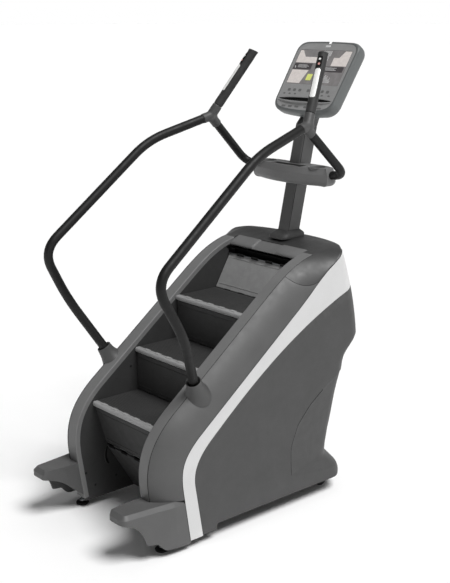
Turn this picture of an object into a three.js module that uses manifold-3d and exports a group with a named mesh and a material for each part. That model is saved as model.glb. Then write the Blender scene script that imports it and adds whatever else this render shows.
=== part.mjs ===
// Stair climber (gym stepmill): a revolving staircase between two moulded side housings,
// long bent handrails, and a console on a mast. Millimetres, +Z up.
// The user gets on at -Y and faces the console at +Y; the machine is symmetric about X = 0.
// Heights are measured from the floor, and Y from the front levelling feet.
import * as THREE from 'three';
import { mergeVertices } from 'three/addons/utils/BufferGeometryUtils.js';
import Module from 'manifold-3d';

const wasm = await Module();
wasm.setup();

// ---------------------------------------------------------------- driving dimensions
const GAP = 0.3;                 // clearance between touching pieces
const SKIN = 4;                  // wall thickness of the moulded covers
const WELL_HALF = 238;           // half-width of the stair well
const BORDER_HALF = 302;         // outer edge of the grey border round the well
const BODY_HALF = 385;           // half-width of the housing
const SHOULDER_DEPTH = 118;      // how far the shoulder falls away before the side plane
const HOOD_TOP = 1192;           // top of the hood above the floor
const LIP_Y = 862;               // where the hood's lip closes the well
const FADE_START = 640;          // the shoulder begins to fade here along Y
const FADE_END = 1010;
const FADE_LEFT = 0.1;           // share of the shoulder that is left at the rear
const SIDE_BOTTOM = 74;          // lower edge of the side covers above the floor
const SIDE_FOOT = 47;            // and just behind the stripe's foot
const STRIPE_FOOT = 41;          // lower end of the silver stripe
const STUB_TOP = 240;            // height of the foot covers at the front
const REAR_BOTTOM = 62;          // lower edge of the rear panel
const REAR_HALF = 150;           // half-width of the removable rear panel
const RISE = 208;                // step height
const RUN = 245;                 // step depth
const STEP_HALF = 235;           // half-width of a step
const NOSE_TOP = new THREE.Vector2(524, 935);   // nosing of the top tread (Y, Z)
const SLOPE = Math.atan2(RISE, RUN);
const TREAD_THICK = 14;
const SPROCKET_R = 70;
const DRIVE_PULLEY_R = 55;       // belt pulley on the upper shaft
const BRAKE_PULLEY_R = 28;       // belt pulley on the brake's flywheel
const TUBE_R = 21;               // handrail tube
const GRIP_R = 23;
const BUTTON_R = 6;
const RAIL_X = 292;              // centre of the base rails
const RAIL_WIDE = 60;
const RAIL_LOW = 40;
const RAIL_HIGH = 80;
const FOOT_X = 304;
const FOOT_REAR_X = 236;
const FOOT_REAR_Y = 920;
const WHEEL_Y = 985;
const WHEEL_R = 35;
const MAST_LEAN = THREE.MathUtils.degToRad(12.5);
const MAST_WIDE = 66;
const MAST_DEEP = 82;
const MAST_FOOT = new THREE.Vector3(0, 993, 1040);
const MAST_LENGTH = 690;
const CONSOLE_LEAN = THREE.MathUtils.degToRad(32.9);
const CONSOLE_AT = new THREE.Vector3(0, 1128, 1841);
const CONSOLE_HALF = 198;
const CONSOLE_LOW = -72;
const CONSOLE_HIGH = 310;
const CONSOLE_DEEP = 68;
const SCREEN_HALF = 172;
const SCREEN_LOW = 74;
const SCREEN_HIGH = 262;
const TRAY_TOP = 1540;
const TRAY_LOW = 1454;

const SIDES = [['left', -1], ['right', 1]];

// ---------------------------------------------------------------- finishes
const finish = (color, roughness, metalness = 0) => ({ color, roughness, metalness });
const BORDER_GREY = finish('#858585', 0.5);
const SHOULDER_GREY = finish('#6e6e6e', 0.55);
const SIDE_GREY = finish('#545454', 0.6);
const STRIPE_SILVER = finish('#d6d6d6', 0.4);
const HOOD_GREY = finish('#464646', 0.5);
const WELL_BLACK = finish('#2d2d2d', 0.7);
const STEP_BLACK = finish('#303030', 0.75);
const RAIL_BLACK = finish('#2a2a2a', 0.35);
const JOINT_GREY = finish('#5c5c5c', 0.55);
const MAST_GREY = finish('#5a5a5a', 0.45);
const FRAME_BLACK = finish('#242424', 0.5, 0.4);
const STEEL = finish('#9a9c9e', 0.35, 1);
const RUBBER = finish('#151515', 0.85);
const CONSOLE_GREY = finish('#7a7a7a', 0.45);
const SHELL_GREY = finish('#4a4a4a', 0.5);
const GLASS = finish('#1d2021', 0.1);
const SENSOR_WHITE = finish('#f2f2f2', 0.35);
const BUTTON_RED = finish('#c4524a', 0.4);

const assembly = new THREE.Group();

// ---------------------------------------------------------------- solids
function toSolid(geometry) {
  const bare = geometry.clone();
  bare.deleteAttribute('normal');
  bare.deleteAttribute('uv');
  const merged = mergeVertices(bare, 1e-3);
  return new wasm.Manifold(new wasm.Mesh({
    numProp: 3,
    vertProperties: new Float32Array(merged.attributes.position.array),
    triVerts: new Uint32Array(merged.index.array),
  }));
}

function toGeometry(solid) {
  const mesh = solid.getMesh();
  const geometry = new THREE.BufferGeometry();
  geometry.setAttribute('position', new THREE.BufferAttribute(mesh.vertProperties, 3));
  geometry.setIndex(new THREE.BufferAttribute(mesh.triVerts, 1));
  const faceted = geometry.toNonIndexed();
  faceted.computeVertexNormals();
  return faceted;
}

function add(name, shape, look) {
  const geometry = shape.isBufferGeometry ? shape : toGeometry(shape);
  const mesh = new THREE.Mesh(geometry, new THREE.MeshStandardMaterial(look));
  mesh.name = name;
  assembly.add(mesh);
  return mesh;
}

const joined = (first, ...rest) => rest.reduce((whole, piece) => whole.add(piece), first);
const cutBy = (first, ...rest) => rest.reduce((whole, piece) => whole.subtract(piece), first);

function box(x0, x1, y0, y1, z0, z1) {
  const block = new THREE.BoxGeometry(x1 - x0, y1 - y0, z1 - z0);
  block.translate((x0 + x1) / 2, (y0 + y1) / 2, (z0 + z1) / 2);
  return toSolid(block);
}

// An outline drawn in Y and Z, extruded along X.
function slab(outline, x0, x1) {
  const geometry = new THREE.ExtrudeGeometry(new THREE.Shape(outline), {
    depth: x1 - x0, bevelEnabled: false,
  });
  const turn = new THREE.Matrix4().makeBasis(
    new THREE.Vector3(0, 1, 0), new THREE.Vector3(0, 0, 1), new THREE.Vector3(1, 0, 0));
  return toSolid(geometry.applyMatrix4(turn).translate(x0, 0, 0));
}

// The same slab on the left (side -1) or right (side 1), from distances off the middle.
function sideSlab(side, outline, near, far) {
  return side > 0 ? slab(outline, near, far) : slab(outline, -far, -near);
}

// An outline drawn in X and Y, extruded along Z.
function plate(outline, z0, z1, chamfer = 0) {
  const geometry = new THREE.ExtrudeGeometry(new THREE.Shape(outline), {
    depth: z1 - z0 - 2 * chamfer,
    bevelEnabled: chamfer > 0,
    bevelThickness: chamfer,
    bevelSize: chamfer,
    bevelOffset: -chamfer,
    bevelSegments: 1,
  });
  return toSolid(geometry.translate(0, 0, z0 + chamfer));
}

function rod(from, to, radius, sides = 20, endRadius = radius) {
  const along = new THREE.Vector3().subVectors(to, from);
  const geometry = new THREE.CylinderGeometry(endRadius, radius, along.length(), sides);
  const up = new THREE.Vector3(0, 1, 0);
  const turn = new THREE.Quaternion().setFromUnitVectors(up, along.clone().normalize());
  const middle = new THREE.Vector3().addVectors(from, to).multiplyScalar(0.5);
  return toSolid(geometry.applyQuaternion(turn).translate(middle.x, middle.y, middle.z));
}

const at = (x, y, z) => new THREE.Vector3(x, y, z);
const flat = (u, v) => new THREE.Vector2(u, v);

// A closed body through equal rings of points.
function loft(rings) {
  const count = rings[0].length;
  const points = rings.flat();
  const faces = [];
  for (let i = 0; i + 1 < rings.length; i += 1) {
    for (let j = 0; j < count; j += 1) {
      const a = i * count + j;
      const b = i * count + (j + 1) % count;
      faces.push(a, b, b + count, a, b + count, a + count);
    }
  }
  const last = (rings.length - 1) * count;
  const middles = [rings[0], rings.at(-1)].map((ring) =>
    ring.reduce((sum, p) => sum.add(p), new THREE.Vector3()).divideScalar(count));
  points.push(...middles);
  for (let j = 0; j < count; j += 1) {
    const next = (j + 1) % count;
    faces.push(points.length - 2, next, j);
    faces.push(points.length - 1, last + j, last + next);
  }
  const geometry = new THREE.BufferGeometry().setFromPoints(points);
  geometry.setIndex(faces);
  return toSolid(geometry);
}

// Moves every point of an open outline sideways: to the right of its direction of travel.
// The distance is one number, or one for each point.
function offset(points, distances) {
  return points.map((point, i) => {
    const distance = Array.isArray(distances) ? distances[i] : distances;
    const before = points[Math.max(i - 1, 0)];
    const after = points[Math.min(i + 1, points.length - 1)];
    const along = new THREE.Vector2().subVectors(after, before).normalize();
    return flat(point.x + along.y * distance, point.y - along.x * distance);
  });
}

// ---------------------------------------------------------------- housing outlines (Y, Z)
// Front edge of the housing from the floor up, round the knee, up the slope and over the top.
function housingEdge() {
  const path = new THREE.Path();
  path.moveTo(-30, 54);
  path.lineTo(-62, 262);
  path.bezierCurveTo(-85, 410, -45, 506, 80, 605);
  path.lineTo(560, 978);
  path.bezierCurveTo(680, 1071, 770, 1150, 920, 1172);
  path.bezierCurveTo(980, 1183, 1010, HOOD_TOP, 1060, HOOD_TOP);
  return path.getPoints(8);
}

// The rear of the housing at a height: bulging under the hood, drawn in at the waist.
const REAR_LINE = new THREE.SplineCurve([
  flat(1128, 52), flat(1130, 104), flat(1084, 180), flat(1083, 225), flat(1110, 400),
  flat(1132, 560), flat(1150, 665), flat(1222, 745), flat(1228, 800), flat(1196, 960),
  flat(1140, 1130), flat(1112, HOOD_TOP),
]).getPoints(17);

const CORNER_WIDE = 325;         // the rear corners are quarter ellipses in plan
const CORNER_DEEP = 155;

function planAt(rear, height, half) {
  const ring = [at(half, -300, height)];
  const steps = 7;
  for (let i = 0; i <= steps; i += 1) {
    const angle = (i / steps) * Math.PI / 2;
    const x = half - CORNER_WIDE + CORNER_WIDE * Math.cos(angle);
    ring.push(at(x, rear - CORNER_DEEP + CORNER_DEEP * Math.sin(angle), height));
  }
  const mirrored = ring.map((p) => at(-p.x, p.y, p.z)).reverse();
  return [...ring, ...mirrored];
}

// The shoulder is full on the slope and fades out towards the rear of the hood.
function shoulderShare(point) {
  const way = THREE.MathUtils.clamp((point.x - FADE_START) / (FADE_END - FADE_START), 0, 1);
  return FADE_LEFT + (1 - FADE_LEFT) * Math.cos(way * Math.PI / 2);
}

// The housing edge, carried on straight past both of its ends.
const longEdge = () => [flat(-18, -24), ...housingEdge(), flat(1400, HOOD_TOP)];

// The wedge that is missing outside each shoulder, swept along the housing edge.
function shoulderWedge(side, inset) {
  const bulge = new THREE.QuadraticBezierCurve(
    flat(BORDER_HALF, 0), flat(352, 40), flat(BODY_HALF, SHOULDER_DEPTH));
  const across = bulge.getPoints(6).map((p) => flat(p.x - 0.82 * inset, p.y + 0.58 * inset));
  const section = [...across, flat(450, SHOULDER_DEPTH), flat(450, -60), flat(BORDER_HALF - inset, -60)];
  const edge = longEdge();
  const shares = edge.map(shoulderShare);
  const deep = section.map((p) => offset(edge, shares.map((share) => (p.y > 0 ? p.y * share : p.y))));
  const rings = edge.map((_, i) => section.map((p, j) => at(side * p.x, deep[j][i].x, deep[j][i].y)));
  return loft(side > 0 ? rings.map((ring) => [...ring].reverse()) : rings);
}

function housing(inset, low) {
  const edge = offset(housingEdge(), inset);
  const start = edge[0];
  const outline = [flat(start.x, low), ...edge, flat(1300, edge.at(-1).y), flat(1300, low)];
  const half = BODY_HALF - inset;
  const whole = slab(outline, -half, half);
  const levels = REAR_LINE.map((p) => planAt(p.x - inset, p.y, half));
  levels.unshift(planAt(REAR_LINE[0].x - inset, low - 20, half));
  levels.push(planAt(REAR_LINE.at(-1).x - inset, 1260, half));
  return cutBy(whole.intersect(loft(levels)), shoulderWedge(1, inset), shoulderWedge(-1, inset),
    waistScoop(1, inset), waistScoop(-1, inset));
}

// The hollow behind each side cover's lower rear, above a sloping ledge.
function waistScoop(side, inset) {
  const ledge = new THREE.BoxGeometry(200, 700, 700).translate(100, 350, 350);
  const lean = new THREE.Matrix4().makeRotationY(THREE.MathUtils.degToRad(6) * side);
  const swing = new THREE.Matrix4().makeRotationZ(THREE.MathUtils.degToRad(11) * side);
  if (side < 0) ledge.translate(-200, 0, 0);
  ledge.applyMatrix4(new THREE.Matrix4().makeRotationX(THREE.MathUtils.degToRad(4)));
  ledge.applyMatrix4(lean).applyMatrix4(swing);
  return toSolid(ledge.translate(side * (BODY_HALF - inset + 4), 700, 160 - inset));
}

// Upper and lower edge of the silver stripe.
const STRIPE_UPPER = offset(longEdge(), longEdge().map((p) => SHOULDER_DEPTH * shoulderShare(p) + 3));

function stripeLower() {
  const path = new THREE.Path();
  path.moveTo(172, 0);
  path.lineTo(124, 280);
  path.bezierCurveTo(112, 350, 134, 408, 220, 478);
  path.bezierCurveTo(430, 655, 690, 860, 1062, 996);
  path.lineTo(1300, 1070);
  return path.getPoints(10);
}

// Everything on the housing's inner side of an edge line, down to the floor and out to the rear.
const under = (line) => [...line, flat(1500, line.at(-1).y), flat(1500, -80), flat(line[0].x, -80)];

// ---------------------------------------------------------------- housing pieces
function addHousing() {
  const outer = housing(0, 30);
  const shell = outer.subtract(housing(SKIN, 0));
  const well = box(-WELL_HALF, WELL_HALF, -200, LIP_Y, 0, 1300);
  const hoodKeepOut = hoodZone(GAP);
  const rearZone = box(-REAR_HALF, REAR_HALF, 1000, 1400, REAR_BOTTOM, 1300);
  const rearKeepOut = box(-REAR_HALF - GAP, REAR_HALF + GAP, 1000, 1400, 0, 1300);
  const mast = mastSolid(1.5);
  const lipCut = slab([flat(700, 1300), flat(700, 1000), flat(854, 1120), flat(866, 1132),
    flat(922, 1174), flat(922, 1300)], -WELL_HALF, WELL_HALF);
  const lip = slab([flat(866, 1128), flat(905, 1120), flat(905, 1124), flat(872, 1132),
    flat(928, 1170), flat(928, 1173), flat(922, 1174), flat(866, 1132)], -WELL_HALF - 2, WELL_HALF + 2);
  add('top_cover', cutBy(shell.intersect(hoodZone(0)), well, mast, lipCut).add(lip), HOOD_GREY);
  add('rear_cover', shell.intersect(rearZone).subtract(hoodKeepOut), SIDE_GREY);
  const plain = cutBy(shell, hoodKeepOut, rearKeepOut);
  const stripeTop = under(STRIPE_UPPER);
  const stripeTopOut = under(offset(STRIPE_UPPER, -GAP));
  const stripeFoot = under(stripeLower());
  const stripeFootOut = under(offset(stripeLower(), -GAP));
  for (const [name, side] of SIDES) {
    const band = sideSlab(side, [flat(-400, 54), flat(-400, 1300), flat(1300, 1300), flat(1300, 54)],
      WELL_HALF, BORDER_HALF);
    const outside = sideSlab(side, [flat(-400, 0), flat(-400, 1300), flat(1400, 1300), flat(1400, 0)],
      REAR_HALF, 500);
    const shoulderZone = sideSlab(side, [flat(-400, STUB_TOP + GAP), flat(-400, 1300),
      flat(1400, 1300), flat(1400, STUB_TOP + GAP)], BORDER_HALF + GAP, 500);
    const frontOnly = sideSlab(side, [flat(-400, 0), flat(-400, 1300), flat(930, 1300), flat(930, 900),
      flat(300, 300), flat(60, 0)], 200, 500);
    add(`${name}_border_trim`, plain.intersect(band).intersect(frontOnly), BORDER_GREY);
    add(`${name}_shoulder_cover`, cutBy(plain.intersect(shoulderZone),
      sideSlab(side, stripeTopOut, 0, 500)), SHOULDER_GREY);
    add(`${name}_stripe_panel`, plain.intersect(outside)
      .intersect(sideSlab(side, stripeTop, 0, 500))
      .subtract(sideSlab(side, stripeFootOut, 0, 500))
      .subtract(box(-600, 600, -400, 600, 0, STRIPE_FOOT)), STRIPE_SILVER);
    add(`${name}_side_cover`, plain.intersect(outside)
      .intersect(sideSlab(side, stripeFoot, 0, 500))
      .subtract(box(-600, 600, -400, 245, 0, SIDE_FOOT))
      .subtract(box(-600, 600, 245, 1400, 0, SIDE_BOTTOM)), SIDE_GREY);
    add(`${name}_inner_wall`, innerWall(side), WELL_BLACK);
    add(`${name}_foot_cover`, footCover(side), JOINT_GREY);
  }
}

// The hood's zone: behind the lip between the borders, and above a curved seam on each shoulder.
function hoodZone(grow) {
  const rearEdge = offset(STRIPE_UPPER.filter((p) => p.x > 1000), grow);
  const middle = [flat(LIP_Y - 8 - grow, 1300), flat(LIP_Y - 8 - grow, 1060), ...rearEdge, flat(1400, 1300)];
  const seam = new THREE.Path();
  seam.moveTo(690, 1300);
  seam.lineTo(712, 1100);
  seam.bezierCurveTo(745, 1042, 830, 1030, 893, 1093);
  const behind = STRIPE_UPPER.filter((p) => p.x > 905);
  const line = offset([...seam.getPoints(8), ...behind], grow);
  const sides = SIDES.map(([, side]) => sideSlab(side, [...line, flat(line.at(-1).x, 1300)],
    BORDER_HALF + GAP - grow, 600));
  return joined(slab(middle, -BORDER_HALF - GAP, BORDER_HALF + GAP), ...sides);
}

function innerWall(side) {
  const edge = offset(housingEdge(), SKIN + GAP).filter((p) => p.x < 850);
  const outline = [flat(edge[0].x, 42), ...edge, flat(856, 1110), flat(856, 700), flat(560, 300),
    flat(320, 90), flat(252, 42)];
  const holes = [LOWER_SHAFT, UPPER_SHAFT].map((shaft) =>
    rod(at(side * 220, shaft.y, shaft.z), at(side * 260, shaft.y, shaft.z), 16));
  return cutBy(sideSlab(side, outline, WELL_HALF, WELL_HALF + SKIN), ...holes);
}

// Hollow foot cover that reaches forward from the housing beside the stair well.
function footCover(side) {
  const underside = new THREE.CubicBezierCurve(
    flat(-20, 30), flat(-60, 44), flat(-78, 168), flat(-237, 198)).getPoints(9);
  const outline = [flat(57, STUB_TOP), flat(70, 186), flat(89, 49), flat(90, 40), flat(50, 28),
    ...underside, flat(-240, 225), flat(-238, STUB_TOP)];
  const hollow = [flat(120, STUB_TOP - SKIN), flat(120, 0), flat(-14, 0),
    ...offset(underside, SKIN), flat(-230, 225), flat(-228, STUB_TOP - SKIN)];
  const outside = footPlan(side, 0);
  const inside = footPlan(side, SKIN);
  const block = sideSlab(side, outline, 0, 500).intersect(plate(outside, 0, STUB_TOP, 6));
  const room = sideSlab(side, hollow, 0, 500).intersect(plate(inside, -10, STUB_TOP + 20));
  const edge = [flat(-18, -24), ...offset(housingEdge(), -GAP)];
  const behindBorder = sideSlab(side, under(edge), 200, BORDER_HALF + GAP);
  return cutBy(block, room, behindBorder);
}

function footPlan(side, inset) {
  const path = new THREE.Path();
  path.moveTo(240.3 + inset, 130);
  path.lineTo(240.3 + inset, -60);
  path.lineTo(252 + inset, -215 + inset);
  path.quadraticCurveTo(254 + inset, -236 + inset, 280, -236 + inset);
  path.lineTo(315, -234 + inset);
  path.quadraticCurveTo(352 - inset, -232 + inset, 360 - inset, -195 + inset);
  path.lineTo(BODY_HALF - inset, 20);
  path.lineTo(BODY_HALF - inset, 130);
  const points = path.getPoints(5).map((p) => flat(side * p.x, p.y));
  return side > 0 ? points : points.reverse();
}

// ---------------------------------------------------------------- frame, feet and wheels
function mastSolid(grow) {
  const half = MAST_WIDE / 2 + grow;
  const deep = MAST_DEEP / 2 + grow;
  const tube = new THREE.BoxGeometry(2 * half, 2 * deep, MAST_LENGTH).translate(0, 0, MAST_LENGTH / 2);
  tube.rotateX(-MAST_LEAN).translate(MAST_FOOT.x, MAST_FOOT.y, MAST_FOOT.z);
  return toSolid(tube);
}

// A point in the plane of the stair, from distances up the slope and out from it.
function onSlope(up, out, x = 0) {
  return at(x, up * Math.cos(SLOPE) - out * Math.sin(SLOPE), up * Math.sin(SLOPE) + out * Math.cos(SLOPE));
}

const SHAFT_OUT = 103;
const LOWER_SHAFT_UP = 392;
const UPPER_SHAFT_UP = 960;
const LOWER_SHAFT = onSlope(LOWER_SHAFT_UP, SHAFT_OUT);
const UPPER_SHAFT = onSlope(UPPER_SHAFT_UP, SHAFT_OUT);
const FLYWHEEL = at(0, 640, 250);

function bearingBeam(side) {
  const low = onSlope(LOWER_SHAFT_UP - 60, SHAFT_OUT - 25);
  const high = onSlope(UPPER_SHAFT_UP + 90, SHAFT_OUT - 25);
  const highOut = onSlope(UPPER_SHAFT_UP + 90, SHAFT_OUT + 25);
  const lowOut = onSlope(LOWER_SHAFT_UP - 60, SHAFT_OUT + 25);
  const outline = [low, high, highOut, lowOut].map((p) => flat(p.y, p.z));
  return sideSlab(side, outline, 262, 292);
}

function baseFrame() {
  const near = RAIL_X - RAIL_WIDE / 2;
  const far = RAIL_X + RAIL_WIDE / 2;
  const pieces = [
    box(-near, near, 310, 350, RAIL_LOW, RAIL_HIGH),
    box(-near, near, 895, 944, RAIL_LOW, RAIL_HIGH),
    box(-near, near, 955, 1035, 985, 1030),
    box(-60, 60, 610, 670, RAIL_LOW, 60),
    box(-60, 60, 670, 910, RAIL_LOW, 60),
  ];
  const holes = [];
  for (const [, side] of SIDES) {
    pieces.push(sideSlab(side, [flat(-12, RAIL_LOW), flat(-12, RAIL_HIGH), flat(945, RAIL_HIGH),
      flat(945, RAIL_LOW)], near, far));
    pieces.push(sideSlab(side, [flat(895, 60), flat(944, 60), flat(1010, 1030), flat(960, 1030)],
      near, near + 40));
    pieces.push(sideSlab(side, [flat(300, 60), flat(350, 60), flat(350, 440), flat(300, 400)],
      near, near + 30));
    pieces.push(sideSlab(side, [flat(770, 820), flat(960, 960), flat(960, 1000), flat(740, 840)],
      near, near + 30));
    pieces.push(bearingBeam(side));
    pieces.push(rod(at(side * 205, FLYWHEEL.y, FLYWHEEL.z), at(side * 225, FLYWHEEL.y, FLYWHEEL.z), 26));
    pieces.push(sideSlab(side, [flat(610, 60), flat(670, 60), flat(655, 262), flat(625, 262)], 205, 225));
    pieces.push(sideSlab(side, [flat(600, RAIL_LOW), flat(680, RAIL_LOW), flat(680, 70), flat(600, 70)],
      190, near + 5));
    pieces.push(sideSlab(side, [flat(940, 45), flat(995, 25), flat(1000, 50), flat(950, 80)],
      FOOT_X - 38, FOOT_X - 32));
    pieces.push(rod(at(side * (FOOT_X - 38), WHEEL_Y, WHEEL_R + 3),
      at(side * (FOOT_X + 12), WHEEL_Y, WHEEL_R + 3), 6));
    for (const shaft of [LOWER_SHAFT, UPPER_SHAFT]) {
      holes.push(rod(at(side * 250, shaft.y, shaft.z), at(side * 300, shaft.y, shaft.z), 13));
    }
    holes.push(rod(at(side * 190, FLYWHEEL.y, FLYWHEEL.z), at(side * 240, FLYWHEEL.y, FLYWHEEL.z), 10.4));
  }
  return cutBy(joined(...pieces), ...holes);
}

function foot(x, y) {
  const profile = [flat(0, 0), flat(28, 0), flat(30, 3), flat(30, 9), flat(14, 16), flat(8, 18),
    flat(8, RAIL_LOW - GAP), flat(0, RAIL_LOW - GAP)];
  return new THREE.LatheGeometry(profile, 24).rotateX(Math.PI / 2).translate(x, y, 0);
}

function wheel(side) {
  const profile = [flat(6.4, -14), flat(31, -14), flat(WHEEL_R, -10), flat(WHEEL_R, 10), flat(31, 14),
    flat(6.4, 14), flat(6.4, -14)];
  return new THREE.LatheGeometry(profile, 28).rotateZ(Math.PI / 2)
    .translate(side * (FOOT_X - 12), WHEEL_Y, WHEEL_R + 3);
}

function addFrame() {
  add('base_frame', baseFrame(), FRAME_BLACK);
  for (const [name, side] of SIDES) {
    add(`${name}_front_foot`, foot(side * FOOT_X, 0), RUBBER);
    add(`${name}_rear_foot`, foot(side * FOOT_REAR_X, FOOT_REAR_Y), RUBBER);
    add(`${name}_transport_wheel`, wheel(side), RUBBER);
  }
}

// ---------------------------------------------------------------- stair
// A tread with its rounded, ribbed nosing; the rear edge carries the hinge of the next riser.
function tread(nose) {
  const outline = [flat(nose.x + 6, nose.y), flat(nose.x, nose.y - 4), flat(nose.x - 4, nose.y - 14),
    flat(nose.x + 2, nose.y - 24), flat(nose.x + 16, nose.y - 26), flat(nose.x + 22, nose.y - TREAD_THICK),
    flat(nose.x + RUN - 12, nose.y - TREAD_THICK), flat(nose.x + RUN - 12, nose.y)];
  const body = slab(outline.reverse(), -STEP_HALF, STEP_HALF);
  const tabs = [-180, -100, -20, 60, 140].map((x) => box(x, x + 34, nose.x + 3, nose.x + 20,
    nose.y - 2, nose.y + 3));
  return joined(body, ...tabs);
}

// A riser plate between two points of the stair's outline, with hinge knuckles along one edge.
function riser(low, high, knucklesAt) {
  const along = new THREE.Vector2().subVectors(high, low).normalize();
  const back = flat(along.y * 10, -along.x * 10);
  const outline = [low, high, flat(high.x + back.x, high.y + back.y), flat(low.x + back.x, low.y + back.y)];
  const body = slab(outline.reverse(), -STEP_HALF, STEP_HALF);
  const knuckles = [-150, -50, 50, 150].map((x) => rod(at(x - 22, knucklesAt.x, knucklesAt.y),
    at(x + 22, knucklesAt.x, knucklesAt.y), 7, 8));
  return joined(body, ...knuckles);
}

const noseOf = (index) => flat(NOSE_TOP.x - index * RUN, NOSE_TOP.y - index * RISE);
const TURN_HINGE = flat(98, 292);
const TURN_FOOT = flat(250, 44);

function addStair() {
  for (let i = 0; i < 3; i += 1) {
    add(`tread_${i + 1}`, tread(noseOf(i)), STEP_BLACK);
  }
  const top = noseOf(0);
  const heel = flat(top.x + RUN + 2, top.y + 2);
  add('riser_1', riser(heel, flat(862, 1092), flat(858, 1094)), finish('#6c6c6c', 0.55));
  for (let i = 0; i < 2; i += 1) {
    const nose = noseOf(i);
    const low = flat(nose.x + 6, nose.y - RISE + 2);
    add(`riser_${i + 2}`, riser(low, flat(nose.x + 6, nose.y - 28), flat(low.x + 5, low.y + 6)), STEP_BLACK);
  }
  const lowest = noseOf(2);
  add('riser_4', riser(flat(TURN_HINGE.x, TURN_HINGE.y + 12), flat(lowest.x + 8, lowest.y - 30),
    flat(TURN_HINGE.x + 3, TURN_HINGE.y + 12)), STEP_BLACK);
  add('turn_plate', riser(TURN_FOOT, flat(TURN_HINGE.x + 2, TURN_HINGE.y - 4),
    flat(TURN_HINGE.x + 8, TURN_HINGE.y - 6)), STEP_BLACK);
  for (let i = 0; i < 2; i += 1) {
    const start = 430 + i * 250;
    const corners = [onSlope(start, 0), onSlope(start + 230, 0),
      onSlope(start + 230, TREAD_THICK), onSlope(start, TREAD_THICK)];
    const outline = corners.map((p) => flat(p.y, p.z));
    add(`return_step_${i + 1}`, slab(outline, -STEP_HALF, STEP_HALF), STEP_BLACK);
  }
  for (const [name, side] of SIDES) {
    const out = SHAFT_OUT + SPROCKET_R + 4;
    const corners = [onSlope(LOWER_SHAFT_UP + 60, out), onSlope(UPPER_SHAFT_UP - 60, out),
      onSlope(UPPER_SHAFT_UP - 60, out + 12), onSlope(LOWER_SHAFT_UP + 60, out + 12)];
    add(`${name}_step_chain`, sideSlab(side, corners.map((p) => flat(p.y, p.z)), 205, 217), STEEL);
  }
}

// A round disc or shaft lying along X.
function disc(centre, x0, x1, radius, sides) {
  return rod(at(x0, centre.y, centre.z), at(x1, centre.y, centre.z), radius, sides);
}

// A shaft with a sprocket near each end.
function shaft(centre) {
  const sprockets = [-217, 205].map((x) => disc(centre, x, x + 12, SPROCKET_R, 24));
  return joined(disc(centre, -291, 291, 12.5, 16), ...sprockets);
}

function addDrive() {
  add('upper_shaft', shaft(UPPER_SHAFT).add(disc(UPPER_SHAFT, -40, 0, DRIVE_PULLEY_R, 24)), STEEL);
  add('lower_shaft', shaft(LOWER_SHAFT), STEEL);
  add('brake_flywheel', joined(disc(FLYWHEEL, -224, 224, 10, 16), disc(FLYWHEEL, 20, 70, 105, 28),
    disc(FLYWHEEL, -40, 0, BRAKE_PULLEY_R, 20)), STEEL);
  add('control_box', box(-160, -40, 760, 880, 60 + GAP, 190), finish('#3a3a3a', 0.6));
}

// ---------------------------------------------------------------- handrails
function bentPath(points, radius) {
  const path = new THREE.CurvePath();
  let from = points[0];
  for (let i = 1; i + 1 < points.length; i += 1) {
    const corner = points[i];
    const back = new THREE.Vector3().subVectors(points[i - 1], corner).setLength(radius);
    const on = new THREE.Vector3().subVectors(points[i + 1], corner).setLength(radius);
    const start = corner.clone().add(back);
    const end = corner.clone().add(on);
    path.add(new THREE.LineCurve3(from, start));
    path.add(new THREE.QuadraticBezierCurve3(start, corner.clone(), end));
    from = end;
  }
  path.add(new THREE.LineCurve3(from, points.at(-1)));
  return path;
}

function tube(path, radius, steps) {
  const circle = new THREE.Shape(new THREE.Path().absarc(0, 0, radius, 0, 2 * Math.PI).getPoints(5));
  return new THREE.ExtrudeGeometry(circle, { extrudePath: path, steps });
}

const mirror = (side, p) => at(side * p.x, p.y, p.z);
const RAIL_POINTS = [at(325, 166, 726), at(427, 37, 966), at(408, -93, 1207), at(378, 479, 1658),
  at(331, 771, 1743)];
const JOINT_CENTRE = at(324, 824, 1755);
const JOINT_LOW = at(319, 853, 1714);
const GRIP_FOOT = at(303, 862, 1826);
const GRIP_TOP = at(228, 1011, 2065);
const TRAY_BEND = at(336, 1054, 1519);
const TRAY_END = at(253.6, 1060, 1508);

// A point on the line of the handrail's first stretch, by its distance past the collar.
function onRail(side, distance) {
  const along = new THREE.Vector3().subVectors(RAIL_POINTS[1], RAIL_POINTS[0]).normalize();
  return mirror(side, RAIL_POINTS[0].clone().addScaledVector(along, distance));
}

// A stub of the joint that meets a tube end squarely: it starts past the tube's end point.
function socket(side, tubeEnd, cameFrom, length, radius) {
  const along = new THREE.Vector3().subVectors(tubeEnd, cameFrom).normalize();
  const mouth = tubeEnd.clone().addScaledVector(along, GAP);
  return rod(mirror(side, mouth), mirror(side, mouth.clone().addScaledVector(along, length)), radius, 16);
}

// Boot where the handrail comes out of the housing.
function collar(side) {
  const buried = onRail(side, -150).add(at(side * 22, 0, 0));
  const cone = rod(buried, onRail(side, 8), 76, 24, 30);
  const bore = rod(onRail(side, -180), onRail(side, 30), TUBE_R + 0.8, 20);
  return cutBy(cone, bore, housing(-GAP, 40));
}

function yJoint(side) {
  const centre = mirror(side, JOINT_CENTRE);
  const ball = toSolid(new THREE.SphereGeometry(27, 16, 12).translate(centre.x, centre.y, centre.z));
  return joined(ball,
    socket(side, RAIL_POINTS.at(-1), RAIL_POINTS.at(-2), 52, 25),
    socket(side, JOINT_LOW, TRAY_BEND, 50, 25),
    socket(side, GRIP_FOOT, GRIP_TOP, 90, 26));
}

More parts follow.
